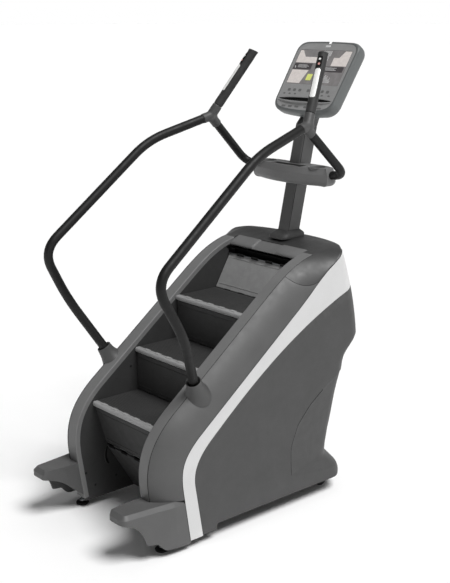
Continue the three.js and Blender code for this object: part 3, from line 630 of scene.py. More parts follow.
def lean_share(y):
    """How much of the rear's lean a column of the cover takes up: none in front, all of it behind."""
    return min(max((y - LEAN_START) / LEAN_SPAN, 0), 1)


def between(top, bottom, share):
    """A point on the cover between two (y, z) points: straight at the front, in line with the rear."""
    (y1, z1), (y2, z2) = top, bottom
    z = z1 + (z2 - z1) * share
    straight = y1 + (y2 - y1) * share
    weight = lean_share(straight)
    r = wrap(y1, z1) + (wrap(y2, z2) - wrap(y1, z1)) * share
    if weight >= 1:
        return (*unwrap(r, z), z)
    level = min(r, 0) + rear_at(z) - CORNER_DEEP
    mixed = straight + (level - straight) * weight
    return (*unwrap(wrap(mixed, z), z), z)


# where the hollow low at the side's rear begins, as (z, y)
CREASE = np.array([(0, 706), (155, 699), (232, 692), (308, 692), (407, 735), (485, 812), (539, 892),
                   (600, 1010), (700, 1300)], float)


def scoop_depth(y, z):
    """The hollow low on the side cover's rear: a slanted hollow above a sloping ledge."""
    past = y - np.interp(z, CREASE[:, 0], CREASE[:, 1])
    step = 4 * (1 - math.exp(-max(past, 0) / 4))
    back = max(np.interp(z, (232, 400), (0.14, 0.105)) * past, 0) + step
    up = max(0.85 * (z - 158 + 0.1 * (y - 700)), 0)
    return min(back, up)


# ---------------------------------------------------------------- housing pieces
def border_section():
    """The border's section as (x, depth): rolled edges, and a skirt turned down into the well."""
    inner = WELL_HALF - 0.8
    section = [(inner, BORDER_SKIRT), (inner, 9)]
    section += [(inner + 6 - 6 * math.cos(a), 6 - 6 * math.sin(a))
                for a in np.linspace(0.1, math.pi / 2, 7)]
    section += [(BORDER_HALF - 3.6 + 3 * math.sin(a), 3 - 3 * math.cos(a))
                for a in np.linspace(0, math.pi / 2, 6)]
    return section + [(BORDER_HALF - 0.6, 4.2), (BORDER_HALF - 8, 4.2), (inner + 10, 4.2),
                      (inner + 3.5, 9), (inner + 3.5, BORDER_SKIRT)]


def border_trim(name, side):
    """The light band beside the well."""
    start = crossing(EDGE, lambda p: p[1] - 54)
    end = crossing(EDGE, lambda p: p[0] - BORDER_END)
    centre = resampled(EDGE, 150, start, end)
    section = border_section()
    rings = [[(side * x, *(point + normal * depth)) for x, depth in section]
             for point, normal in zip(centre, normals_of(centre))]
    settled(rounded(loft(f"{name}_border", rings), 0, angle=45), "frame", "border_grey",
            f"{name}_border_trim")




def shoulder(name, side):
    """The rolled shoulder from the foot cover up to the curved seam of the hood."""
    rows = []
    section = [(x, d, 0) for x, d in SHOULDER_SECTION] + [(BODY_HALF, SHOULDER_DEPTH, 3 - SEAM / 2)]
    for x, depth, extra in section:
        line = below_edge(depth, extra)
        start = crossing(line, lambda p: p[1] - STUB_TOP - GAP)
        end = meeting(line[:-3], HOOD_SEAM)
        rows.append([(side * x, y, z) for y, z in resampled(line, 110, start, end - 0.02)])
    settled(rounded(thick(grid(f"{name}_shoulder", rows)), 1.0, 2, 50), "frame",
            "shoulder_grey", f"{name}_shoulder_cover")


def to_corner(line, foot):
    """The stretch of a line from its foot to where the rear panel begins."""
    end = crossing(wrapped(line), lambda p: p[0] - CORNER_END)
    return crossing(line, lambda p: p[1] - foot), end


def stripe(name, side):
    upper = below_edge(SHOULDER_DEPTH, 3 + SEAM / 2)
    first = resampled(upper, 190, *to_corner(upper, STRIPE_FOOT))
    second = resampled(STRIPE_LOWER, 190, *to_corner(STRIPE_LOWER, STRIPE_FOOT))
    rows = []
    for share in np.linspace(0, 1, 12):
        spots = [between(top, bottom, share) for top, bottom in zip(first, second)]
        rows.append([(side * x, y, z) for x, y, z in spots])
    settled(rounded(thick(grid(f"{name}_stripe", rows)), 1.0, 2, 50), "frame",
            "stripe_silver", f"{name}_stripe_panel")


def side_panel(name, side):
    """The big side cover, with the hollow and ledge low at its rear."""
    edge = STRIPE_LOWER + normals_of(STRIPE_LOWER) * SEAM
    top = resampled(edge, 230, *to_corner(edge, SIDE_FOOT))
    toe = 40                         # the lower edge is spread evenly over this stretch behind the toe
    turn = int(np.argmax(top[:, 0] > top[0, 0] + toe))
    foot_y = np.concatenate([np.linspace(top[0, 0], top[turn, 0], turn + 1), top[turn + 1:, 0]])
    finer_low_down = np.linspace(0, 1, 100) ** 0.72
    columns = []
    for (y, z), low_y in zip(top, foot_y):
        bottom = SIDE_FOOT if low_y < BOTTOM_STEP else SIDE_BOTTOM
        past = wrap(y, z)
        if past > 0:
            low_y = unwrap(past, bottom)[1]
        else:
            low_y = low_y + (rear_at(bottom) - rear_at(z)) * lean_share(low_y)
        column = []
        for share in finer_low_down:
            x, spot_y, spot_z = between((y, z), (low_y, bottom), share)
            column.append((side * (x - scoop_depth(spot_y, spot_z)), spot_y, spot_z))
        columns.append(column)
    settled(rounded(thick(grid(f"{name}_side", columns)), 1.0, 2, 50), "frame",
            "side_grey", f"{name}_side_cover")


def seam(name, points, radius=1.2):
    """Painted shadow: a thin near-black tube laid in the gap between two covers, for the dark line that
    shows there.
    """
    settled(rounded(tube(name, points, radius, 6), 0, angle=70), "frame", "foot_rubber", material=SHADOW)


def seams(name, side):
    # Near-black tubes in the covers' seams: painted shadow in the gaps.
    border = resampled(EDGE, 160, crossing(EDGE, lambda p: p[1] - STUB_TOP),
                       crossing(EDGE, lambda p: p[0] - BORDER_END))
    seam(f"{name}_border_seam", [Vector((side * (BORDER_HALF + 0.6), y, z - 0.4)) for y, z in border])
    line = below_edge(SHOULDER_DEPTH, 3)
    upper = resampled(line, 190, *to_corner(line, STRIPE_FOOT))
    spots = [between(p, p, 0) for p in upper]
    seam(f"{name}_stripe_seam", [Vector((side * (x - 0.2), y, z)) for x, y, z in spots])
    hood_line = []
    for x, depth in SHOULDER_SECTION:
        line = below_edge(depth)
        y, z = resampled(line, 2, meeting(line[:-3], HOOD_SEAM), len(line) - 1)[0]
        hood_line.append(Vector((side * x, y, z)))
    seam(f"{name}_hood_seam", hood_line, 0.9)
    # A thin near-black tube along the hollow's crease: painted shade for the dark line where the surface
    # turns.
    crease = []
    for z in np.linspace(168, 540, 60):
        x, y = unwrap(wrap(float(np.interp(z, CREASE[:, 0], CREASE[:, 1])), z), z)
        crease.append(Vector((side * (x - 0.5), y, z)))
    seam(f"{name}_hollow_crease_shade", crease, 0.9)


def on_rear(x, z):
    """Y of the rear panel's surface."""
    past = max(abs(x) - (BODY_HALF - CORNER_WIDE), 0) / CORNER_WIDE
    return rear_at(z) - CORNER_DEEP + CORNER_DEEP * math.sqrt(1 - past * past)


def rear_panel():
    half = REAR_HALF - GAP
    rows = [[(x, on_rear(x, z), z) for x in np.linspace(-half, half, 61)]
            for z in np.linspace(REAR_BOTTOM, REAR_TOP, 120)]
    settled(rounded(thick(grid("rear_panel", rows)), 1.2, 2, 50), "frame", "side_grey", "rear_cover")
    for tag, x in (("left", -128), ("right", 128)):
        for z in (112, 420, 640, 900, 1120):
            slope = (rear_at(z + 4) - rear_at(z - 4)) / 8
            screw(f"rear_screw_{tag}_{z}", (x, on_rear(x, z) - 0.5, z), (0.1 * x / 128, 1, -slope), 6)


def z_on(line, y):
    """Height of a housing line where it rises towards the rear."""
    return float(np.interp(y, line[40:, 0], line[40:, 1]))


def top_z(x, y):
    """Height of the housing's rolled top."""
    return z_on(below_edge(float(np.interp(abs(x), SECTION_X, SECTION_DEPTH))), y)


def straight_rows(start, end, count):
    return [(y, BODY_HALF) for y in np.linspace(start, end, count)[:-1]]


def hood_patch(name, xs, rows):
    """A sheet of the hood's top over rows of (y, half width of the housing)."""
    return grid(name, [[(x * half / BODY_HALF, y, top_z(x * half / BODY_HALF, y)) for x in xs]
                       for y, half in rows])


def hood_front(side):
    """Columns of the hood's rolled side in front of its straight part, from the curved seam back."""
    columns = []
    for x, depth in SHOULDER_SECTION:
        line = below_edge(depth)
        start = meeting(line[:-3], HOOD_SEAM)
        end = crossing(line, lambda p: p[0] - HOOD_SIDE_START)
        columns.append([(side * x, y, z) for y, z in resampled(line, 34, start + 0.02, end)])
    return columns


def hood_rim(side, front_edge, rows):
    """The wall from the hood's rolled edge down to the stripe's seam."""
    lower = below_edge(SHOULDER_DEPTH, 3 - SEAM / 2)
    rim = [[(x, y, z), (x, y, z_on(lower, y))] for x, y, z in front_edge]
    for y, half in rows:
        weight = min(max((y - HOOD_START) / (HOOD_CORNER - HOOD_START), 0), 1)
        low_y = y
        for _ in range(4):           # the rear line leans, so the low point is found by steps
            low_y = y + (rear_at(z_on(lower, low_y)) - rear_at(HOOD_TOP)) * weight
        z_low = z_on(lower, low_y)
        x_low, y_low = unwrap(wrap(low_y, z_low), z_low)
        rim.append([(side * half, y, top_z(half, y)), (side * x_low, y_low, z_low)])
    return grid("rim", rim)


def hood_back(xs):
    """The short wall over the rear panel."""
    z_low = HOOD_TOP - SHOULDER_DEPTH * FADE_LEFT - 3 + SEAM / 2
    edge = sorted({round(float(x) * (BODY_HALF - CORNER_WIDE) / BODY_HALF, 6) for x in xs})
    return grid("back", [[(x, rear_at(HOOD_TOP), HOOD_TOP) for x in edge],
                         [(x, rear_at(z_low), z_low) for x in edge]])


def hood():
    """Hood over the top of the stair: flat middle, rolled sides with a curved front seam."""
    corner = [(HOOD_CORNER + CORNER_DEEP * math.sin(a),
               BODY_HALF - CORNER_WIDE + CORNER_WIDE * math.cos(a)) for a in np.linspace(0, math.pi / 2, 22)]
    plan = straight_rows(HOOD_START, HOOD_CORNER, 5) + corner
    side_rows = straight_rows(HOOD_SIDE_START, HOOD_START, 3) + plan
    wing_rows = straight_rows(BORDER_END + 0.4, HOOD_START, 6) + plan
    middle_xs = np.linspace(-WELL_HALF, WELL_HALF, 25)
    wing_xs = np.linspace(WELL_HALF, BORDER_HALF + SEAM, 5)
    sheets = [hood_patch("hood", middle_xs, plan)]
    for _, side in SIDES:
        front = hood_front(side)
        sheets.append(hood_patch("wing", side * wing_xs, wing_rows))
        sheets.append(hood_patch("side", side * SECTION_X, side_rows))
        sheets.append(grid("front", front))
        sheets.append(hood_rim(side, front[-1][:-1], side_rows))
    sheets.append(hood_back([*middle_xs, *wing_xs, *-wing_xs, *SECTION_X, *-SECTION_X]))
    piece = face_away(tidy_mesh(joined(*sheets), merge=2e-4), (0, 700, 800))
    piece = carved(thick(piece), mast_bar("mast_hole", 1.5, 2.0))
    settled(rounded(piece, 1.4, 3, 50), "frame", "hood_grey", "top_cover")


LIP_NORMAL = np.array((-0.58, 0.81))


def lip():
    """The light lip over the well's slot: a sloping face with a lower middle part."""
    rings = []
    for x in (-237.6, -229, -82, -74, 74, 82, 229, 237.6):
        rise = 2.6 if 82 <= abs(x) <= 229 else (-3.4 if abs(x) < 80 else 0.2)
        face = []
        for y in (LIP_REAR, 908, 890, 874, LIP_FRONT):
            dip = LIP_DIP * ((LIP_REAR - y) / (LIP_REAR - LIP_FRONT)) ** 1.2
            out = rise if y > 870 else rise - 3
            face.append(np.array((y, z_on(EDGE, y) - dip)) + LIP_NORMAL * out)
        low = z_on(EDGE, LIP_FRONT) - LIP_DIP
        section = [(LIP_FRONT - 1, low - 7), (871, low - 12), (896, low - 12), (LIP_REAR, 1150)]
        rings.append([(x, y, z) for y, z in section + face])
    settled(rounded(loft("lip_trim", rings), 1.4, 3, 35), "frame", "border_grey")
    # A near-black sheet behind the slot under the lip: painted shade where the slot lies in shadow.
    shade_sheet = slab("slot_shade_sheet", [(873, 1121), (905, 1121), (905, 1000), (899, 1000), (899, 1112),
                                (873, 1118)], -237, 237)
    settled(rounded(shade_sheet, 0.5), "frame", "well_black", material=SHADOW)


def foot_plan():
    """The foot cover from above, from the well round its toe to the stripe."""
    outline = [(240.3, FOOT_WELL_REAR), (240.3, -120), (249, -218)]
    outline += bezier([(249, -218), (251, -235), (266, -235.6)], 8)
    outline += bezier([(322, -235.8), (352, -235.8), (357, -207)], 10)
    outline += [(366, -128), (376, -50), (BODY_HALF, 10), (BODY_HALF, FOOT_REAR)]
    return resampled(outline, 130)


def foot_rims():
    """Lower edges of the foot cover as (y, z): the outer side, then the side by the well."""
    outer = bezier([(-237, 200), (-178, 196), (-142, 150), (-126, 96)], 12)
    outer += bezier([(-124, 90), (-118, 80), (-90, 80), (-77, 78)], 6)
    outer += bezier([(-74, 77), (-58, 66), (-50, 42), (-20, 34)], 8)
    inner = bezier([(-237, 200), (-78, 172), (-60, 50), (-20, 34)], 24)
    tail = [(50, 29), (90, 38)]
    return np.array(outer + tail), np.array(inner + tail)


def foot_shift(x, y, z):
    """How far a point moves along Y, so that the cover meets the stripe outside and the border inside."""
    if x > FOOT_OUTSIDE:
        stripe_y = float(np.interp(z, STRIPE_UPPER[:34, 1], STRIPE_UPPER[:34, 0])) - 2 * GAP
        return (stripe_y - FOOT_REAR) * np.clip((y + 30) / (FOOT_REAR + 30), 0, 1)
    if y > -90:
        return (well_edge_y(z) - FOOT_WELL_REAR) * np.clip((y + 90) / (FOOT_WELL_REAR + 90), 0, 1)
    return 0.0


def well_edge_y(z):
    return float(np.interp(z, EDGE[:60, 1], EDGE[:60, 0])) - 2 * GAP


def foot_cover(name, side):
    """Cover that reaches forward beside the well: flat top, broad chamfer, hollow below."""
    outline = foot_plan()
    outer_rim, inner_rim = foot_rims()
    inside = (side * 310, -60, 130)
    columns = []
    for (x, y), way in zip(outline, normals_of(outline)):
        to_middle = way if np.dot(way, np.array([312, -80]) - (x, y)) > 0 else -way
        inward = min(1.0, max(0.0, (x - 247.5) / 14))
        rim = outer_rim if x > FOOT_OUTSIDE else inner_rim
        bottom = float(np.interp(y, rim[:, 0], rim[:, 1]))
        chamfer_low = FOOT_CHAMFER[-1][1]
        wall = [(0, chamfer_low + (STUB_TOP - chamfer_low - bottom) * k / 10) for k in range(1, 11)]
        column = []
        for inset, drop in FOOT_CHAMFER + wall:
            z = STUB_TOP - drop
            spot = np.array([x, y]) + to_middle * inset * inward
            column.append((side * spot[0], spot[1] + foot_shift(x, y, z), z))
        columns.append(column)
    sheet = grid(f"{name}_foot", columns, inside)
    rim = [column[0] for column in columns]
    rear = [(side * 303, rim[-1][1], STUB_TOP), (side * 303, well_edge_y(STUB_TOP), STUB_TOP)]
    top = face_away(piece_from("top", rim + rear, [tuple(range(len(rim) + 2))]), inside)
    piece = face_away(tidy_mesh(joined(sheet, top)), inside)
    settled(rounded(thick(piece, 3.5), 0.7, 2, 16), "frame", "cover_grey", f"{name}_foot_cover")


def wall_details(name, side):
    """Screws and the crescent slot with its rim on the wall of the stair well."""
    x = side * (WELL_HALF - 0.2)
    axis = (-side, 0, 0)
    for k, (y, z) in enumerate(((-18, 178), (32, 106), (470, 880), (250, 640), (150, 120))):
        screw(f"{name}_wall_screw_{k}", (x, y, z), axis, 6)
    arc = [(118 + 30 * math.cos(a), 238 + 52 * math.sin(a)) for a in np.linspace(2.2, 4.3, 16)]
    back = [(134 + 34 * math.cos(a), 240 + 56 * math.sin(a)) for a in np.linspace(4.1, 2.4, 16)]
    # The crescent slot is a near-black sheet on the wall: painted shade for the slot's dark inside.
    slot = slab(f"{name}_crescent", arc + back, x, x - side * 1.4)
    settled(rounded(slot, 0.3), "frame", "well_black", material=SHADOW)
    rim = tube(f"{name}_crescent_rim", [(x - side * 0.4, y, z) for y, z in resampled(arc, 30)], 2.0, 10)
    settled(rounded(rim, 0), "frame", "well_black")


def inner_wall(name, side):
    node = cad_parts[f"{name}_inner_wall"]
    node.data.materials.clear()
    node.data.materials.append(FINISHES["well_black"])
    wall_details(name, side)


# ---------------------------------------------------------------- stair
def nose_of(index):
    """Y and Z of a tread's front upper edge, counted from the top step."""
    return NOSE_TOP[0] - index * RUN, NOSE_TOP[1] - index * RISE


def tread_deck(y, z):
    """The ribbed deck; its plain rear edge runs on under the riser."""
    rear, lowest_rib, pitch, half_rib = RUN + 15, 34, 12.0, 3.2
    outline = [(y + 20, z - 14), (y + rear, z - 14), (y + rear, z - 1.2)]
    spot = RUN - 20
    while spot > lowest_rib:
        outline += [(y + spot, z - 1.2), (y + spot - 1, z), (y + spot - 1 - half_rib, z),
                    (y + spot - 2 - half_rib, z - 1.2)]
        spot -= pitch
    return outline + [(y + 26, z - 1.2), (y + 22, z - 0.4), (y + 20, z - 0.4)]


def tread_nose(y, z):
    front = [(y + 20, z - 0.4), (y + 20, z - 26), (y + 15, z - 26.5)]
    front += bezier([(y + 8, z - 26), (y - 2, z - 24), (y - 4, z - 14)], 6)
    front += bezier([(y - 4, z - 12), (y - 4.4, z - 1), (y + 6, z - 0.2)], 8)
    return front + [(y + 9, z - 0.2), (y + 9.5, z - 1.4), (y + 11.5, z - 1.4), (y + 12, z - 0.2),
                    (y + 16, z - 0.2)]


def tread(index):
    """A moulded tread with fine ribs and a grey nosing strip with locating tabs."""
    y, z = nose_of(index)
    body = slab(f"tread_{index + 1}_deck", tread_deck(y, z), -STEP_HALF, STEP_HALF)
    settled(rounded(body, 0.4, 2), "stair", "step_black", f"tread_{index + 1}")
    nosing = slab(f"tread_{index + 1}_nosing", tread_nose(y, z), -STEP_HALF + 0.4, STEP_HALF - 0.4)
    settled(rounded(nosing, 0.3, 2), "stair", "riser_grey")
    tabs = [plate("tab", [(x, y + 4), (x + 34, y + 4), (x + 34, y + 20), (x, y + 20)], z - 1, z + 2.6)
            for x in (-180, -100, -20, 60, 140)]
    settled(rounded(joined(*tabs), 1.0, 2), "stair", "riser_grey")


def sheet_between(name, low, high, x_half, depth=9.0):
    """A flat plate across the stair, between a lower and an upper (y, z) line."""
    low, high = np.array(low, float), np.array(high, float)
    along = (high - low) / np.linalg.norm(high - low)
    back = np.array([along[1], -along[0]]) * depth
    return slab(name, [tuple(low), tuple(high), tuple(high + back), tuple(low + back)], -x_half, x_half)


def hinge(name, line_y, line_z, body, radius=6.6, spots=(-150, -50, 50, 150), tone=SHADOW):
    """Knuckles round a steel pin, as on the joint between two steps."""
    knuckles = [lathe("knuckle", [(-22, radius - 1.2), (-21, radius), (21, radius), (22, radius - 1.2)],
                      (x, line_y, line_z), (1, 0, 0), 20) for x in spots]
    # Knuckles in the near-black shadow finish (tone=SHADOW) are painted shade for the dark slots of the
    # hinge.
    settled(rounded(joined(*knuckles), 0), body, "step_black", material=tone)
    pin = lathe(f"{name}_pin", [(-STEP_HALF + 3, 2.6), (STEP_HALF - 3, 2.6)], (0, line_y, line_z),
                (1, 0, 0), 14)
    settled(rounded(pin, 0), body, "steel")


def riser(index, low, high, slot, knuckle_line):
    """A riser with a bead along each long edge, and a hinge at its lower or upper edge."""
    face = sheet_between(f"riser_{index}_plate", low, high, STEP_HALF)
    settled(rounded(face, 1.2, 2), "stair", slot, f"riser_{index}")
    low, high = np.array(low, float), np.array(high, float)
    along = (high - low) / np.linalg.norm(high - low)
    out = np.array([-along[1], along[0]])
    beads = []
    for share in (0.12, 0.88):
        spot = low + (high - low) * share + out * 0.2
        beads.append(tube("bead", [(x, *spot) for x in np.linspace(-STEP_HALF + 16, STEP_HALF - 16, 12)],
                          1.5, 10))
    settled(rounded(joined(*beads), 0), "stair", slot)
    # Riser 1's knuckles get painted shade for the dark hinge slots; the lower risers' keep the step's own
    # black.
    hinge(f"riser_{index}", *knuckle_line, "stair", tone=SHADOW if index == 1 else FINISHES["step_black"])


def stair():
    """The three visible steps, the riser above them and the steps that fold over below."""
    for index in range(3):
        tread(index)
    top_y, highest = nose_of(0)
    riser(1, (top_y + RUN + 2, highest + 2), (862, 1092), "riser_grey", (858, 1093))
    for index in (0, 1):
        y, z = nose_of(index)
        riser(index + 2, (y + 6, z - RISE + 2), (y + 6, z - 28), "step_black", (y + 11, z - RISE + 8))
    low_y, low_z = nose_of(2)
    riser(4, (98, 304), (low_y + 8, low_z - 30), "step_black", (101, 304))
    turn = sheet_between("turn_plate_face", (250, 44), (100, 288), STEP_HALF)
    settled(rounded(turn, 1.2, 2), "stair", "step_black", "turn_plate")
    # The turn hinge's knuckles keep the near-black default: painted shade for its slots.
    hinge("turn", 106, 286, "stair", spots=(-195, -100, 0, 100, 195))
    # Near-black plates at riser 1's foot: painted shade for the dark hinge slots.
    slots = [plate("slot", [(x - 20, 770), (x + 20, 770), (x + 20, 784), (x - 20, 784)], 936.5, 938.4)
             for x in (-150, -50, 50, 150)]
    settled(rounded(joined(*slots), 0.4), "stair", "step_black", material=SHADOW)


# ---------------------------------------------------------------- handrails
# the right handrail's corner points; the left one mirrors it
RAIL = [(325, 166, 726), (427, 37, 966), (408, -93, 1207), (378, 479, 1658), (331, 771, 1743)]
JOINT_CENTRE = (324, 824, 1755)
JOINT_LOW = (319, 853, 1714)
GRIP_FOOT = (303, 862, 1826)
GRIP_TOP = (228, 1011, 2065)
RAIL_BEND, BRANCH_BEND = 95, 60
BRANCH = [JOINT_LOW, (336, 1054, 1519), (253.6, 1060, 1508)]


def mirrored(side, points):
    return [(side * x, y, z) for x, y, z in points]


def toward(start, end, distance):
    start, end = Vector(start), Vector(end)
    return start + (end - start).normalized() * distance


def inside_housing(point):
    """True where a point lies under the shoulder's surface."""
    x, y, z = point
    return z < top_z(x, y)


def way_to_housing(start, end):
    """Share of the way from start to end at which the line has just entered the housing."""
    low, high = 0.0, 1.0
    for _ in range(22):
        middle = (low + high) / 2
        if inside_housing(start.lerp(end, middle)):
            high = middle
        else:
            low = middle
    return min(high + 0.03, 1)


def handrail(name, side):
    points = mirrored(side, RAIL)
    points[0] = tuple(toward(points[0], points[1], -40))
    rail = tube(f"{name}_rail", bent_path(points, RAIL_BEND), TUBE_R, 40)
    settled(rounded(rail, 0, angle=50), "frame", "rail_black", f"{name}_handrail")
    branch = tube(f"{name}_branch", bent_path(mirrored(side, BRANCH), BRANCH_BEND), TUBE_R - 1, 40)
    settled(rounded(branch, 0, angle=50), "frame", "rail_black", f"{name}_lower_tube")
    collar(name, side, points)


def collar(name, side, points):
    """Boot round the foot of the handrail, flared down on to the shoulder."""
    start, bend = Vector(mirrored(side, RAIL)[0]), Vector(points[1])
    along = (bend - start).normalized()
    foot = start - along * 150 + Vector((side * 22, 0, 0))
    mouth = start + along * 8
    axis = (mouth - foot).normalized()
    across = axis.cross(Vector((1, 0, 0))).normalized()
    third = axis.cross(across)
    cup = [(TUBE_R + 0.9, -16), (TUBE_R + 2, -14), (29.4, -1.4), (30.6, 0.4), (32.4, 0.6), (33.6, -0.6)]
    shares = (0.05, 0.2, 0.45, 0.75, 0.92, 1.0)
    rings = [[] for _ in range(len(cup) + len(shares))]
    turns = 48
    for k in range(turns):
        angle = 2 * math.pi * k / turns
        out = across * math.cos(angle) + third * math.sin(angle)
        for ring, (radius, height) in zip(rings, cup):
            ring.append(mouth + out * radius + axis * height)
        top = mouth + out * 33.8 - axis * 2
        reach = foot + out * 62
        way = way_to_housing(top, reach)
        for ring, share in zip(rings[len(cup):], shares):
            flare = 1 + 0.14 * max(share - 0.6, 0) / 0.4 - 0.05 * math.sin(math.pi * share)
            core = mouth.lerp(foot, way * share)
            ring.append(core + (top.lerp(reach, way * share) - core) * flare)
    boot = loft(f"{name}_collar", rings, closed_ends=False)
    boot = face_away(boot, tuple((mouth + foot) / 2))
    settled(rounded(boot, 0, angle=60), "frame", "joint_grey", f"{name}_rail_collar")
    # A near-black ring inside the collar's mouth: painted shade for the dark opening round the tube.
    shade_ring = lathe(f"{name}_collar_shade_ring", [(-12, 21.2), (-9.4, 21.2), (-8.4, 22.4), (-9, 25), (-12, 25)],
                 mouth, axis)
    settled(rounded(shade_ring, 0), "frame", "foot_rubber", material=SHADOW)


def y_joint(name, side):
    """Cast joint where the rail, the lower tube and the grip meet, with blended branches."""
    centre = Vector(mirrored(side, [JOINT_CENTRE])[0])
    rail, near = mirrored(side, [RAIL[-1], RAIL[-2]])
    low, bend = mirrored(side, [JOINT_LOW, BRANCH[1]])
    foot, top = mirrored(side, [GRIP_FOOT, GRIP_TOP])
    arms = [(toward(rail, near, -GAP), toward(rail, near, -56), 23.4),
            (toward(low, bend, -GAP), toward(low, bend, -52), 23.4),
            (toward(foot, top, -GAP - 26), toward(foot, top, -90), 24)]
    parts = [lathe("ball", [(27 * math.cos(a), 27 * math.sin(a)) for a in np.linspace(0.05, 3.09, 20)],
                   centre, (0, 0, 1), 32)]
    for start, end, size in arms:
        parts.append(tube("arm", [start.lerp(end, k / 14) for k in range(15)], size, 36))
    body = joined(*parts)
    body.name = f"{name}_joint"
    melt = body.modifiers.new("melt", "REMESH")
    melt.mode = "VOXEL"
    melt.voxel_size = 0.0026
    blend = body.modifiers.new("blend", "SMOOTH")
    blend.factor = 0.5
    blend.iterations = 14
    applied(body)
    settled(rounded(body, 0, angle=70), "frame", "joint_grey", f"{name}_y_joint")


def grip_frame(side):
    """The grip's own frame: Z up the tube, Y towards the user."""
    foot = Vector(mirrored(side, [GRIP_FOOT])[0])
    along = (Vector(mirrored(side, [GRIP_TOP])[0]) - foot).normalized()
    to_user = Vector((0.4 * side, -0.92, 0.1))
    across = to_user.cross(along).normalized()
    face = along.cross(across).normalized()
    turn = Matrix((across, face, along)).transposed().to_4x4()
    return Matrix.Translation(foot + along * GAP) @ turn


def on_grip(matrix, points):
    return [tuple(matrix @ Vector(p)) for p in points]


def sector(matrix, name, inner, outer, low, high, half, corner=6, steps=26):
    """A curved strip on the grip with rounded ends."""
    rings = []
    for k in range(steps + 1):
        z = low + (high - low) * k / steps
        end = min(z - low, high - z)
        width = half
        if end < corner:
            width = half - corner + math.sqrt(max(corner ** 2 - (corner - end) ** 2, 0.02))
        ring = []
        angle = math.asin(min(width / outer, 1))
        spread = np.linspace(-angle, angle, 13)
        ring += [(outer * math.sin(a), outer * math.cos(a), z) for a in spread]
        ring += [(inner * math.sin(a), inner * math.cos(a), z) for a in spread[::-1]]
        rings.append(on_grip(matrix, ring))
    return loft(name, rings)


GRIP_PROFILE = [                 # (distance up the tube, radius)
    (-25, 21.6), (-24, 22.2), (-10, 22.6), (20, 22.6), (60, 22.6), (150, 22.8), (205, 22.9), (245, 22.9),
    (262, 22.4), (272, 22.2), (279, 22.6), (284, 23.4), (287, 23.6), (289, 22.4), (289.4, 18)]
GRIP_SLANT_START = 245           # the top of the grip leans away from the user past here


def grip_sleeve(name, matrix):
    length = (Vector(GRIP_TOP) - Vector(GRIP_FOOT)).length
    rings = []
    for z, radius in GRIP_PROFILE:
        ring = []
        for k in range(44):
            a = 2 * math.pi * k / 44
            slant = -0.2 * radius * (1 + math.cos(a)) * max(0, (z - GRIP_SLANT_START) / 45)
            ring.append((radius * math.sin(a), radius * math.cos(a), min(z + slant, length - 0.4)))
        rings.append(on_grip(matrix, ring))
    return loft(f"{name}_handle", rings)


def grip(name, side):
    """Grip with a white pulse sensor, a dark button pad and a flared cap cut at a slant."""
    matrix = grip_frame(side)
    sleeve = grip_sleeve(name, matrix)
    settled(rounded(sleeve, 0, angle=50), "frame", "grip_rubber", f"{name}_grip")
    strip = sector(matrix, f"{name}_sensor", 21.6, 24.3, 46, 192, 13.5)
    settled(rounded(strip, 0.6, 2), "frame", "sensor_white", f"{name}_pulse_sensor")
    pad = sector(matrix, f"{name}_button_pad", 21.4, 24.0, 199, 256, 12)
    settled(rounded(pad, 0.6, 2), "frame", "grip_rubber", material=SHADOW)
    for z, label, slot in ((215, "upper", "button_red"), (240, "top", "sensor_white")):
        start = Vector(matrix @ Vector((0, 15, z)))
        axis = (matrix.to_3x3() @ Vector((0, 1, 0))).normalized()
        cap = lathe(f"{name}_{label}_cap", [(0, 5.4), (8.6, 5.6), (9.8, 5.1), (10.2, 3.6), (10.0, 0.2)],
                    start, tuple(axis), 28)
        settled(rounded(cap, 0), f"{name}_{label}_button", slot, f"{name}_{label}_button")


# ---------------------------------------------------------------- frame, feet and wheels
def levelling_foot(name):
    """Rubber pad and threaded stem of one levelling foot, where the CAD has it."""
    low_corner, high_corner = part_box(name)
    x = (low_corner.x + high_corner.x) * 500
    y = ((low_corner.y + high_corner.y) / 2 - FEET_Y) * 1000
    pad = lathe(name.replace("foot", "pad"), [(0, 26), (0.8, 28.6), (3, 29.6), (8, 30), (10, 28),
                                              (13, 20), (15.5, 14.5)], (x, y, 0), (0, 0, 1), 48)
    settled(rounded(pad, 0, angle=50), name, "foot_rubber", name)
    stem = [(15, 12), (16, 14), (23, 14), (24, 12), (24, 8)]
    for k in range(5):
        stem += [(25 + k * 3, 8), (26.5 + k * 3, 6.8)]
    bolt = lathe(name.replace("foot", "bolt"), stem + [(39.6, 8)], (x, y, 0), (0, 0, 1), 24)
    settled(rounded(bolt, 0, angle=30), name, "steel")


def spoke(centre, spot, turn):
    blade = plate("spoke", [(spot[0] - 11, -1.6), (spot[0] + 11, -1.6), (spot[0] + 11, 1.6),
                            (spot[0] - 11, 1.6)], 10, 22)
    spin = Quaternion((1, 0, 0), turn).to_matrix().to_4x4()
    blade.data.transform(Matrix.Translation(centre - Vector((centre.x, 0, 0))) @ spin
                         @ Matrix.Translation(-place((0, 0, 0))))
    return blade


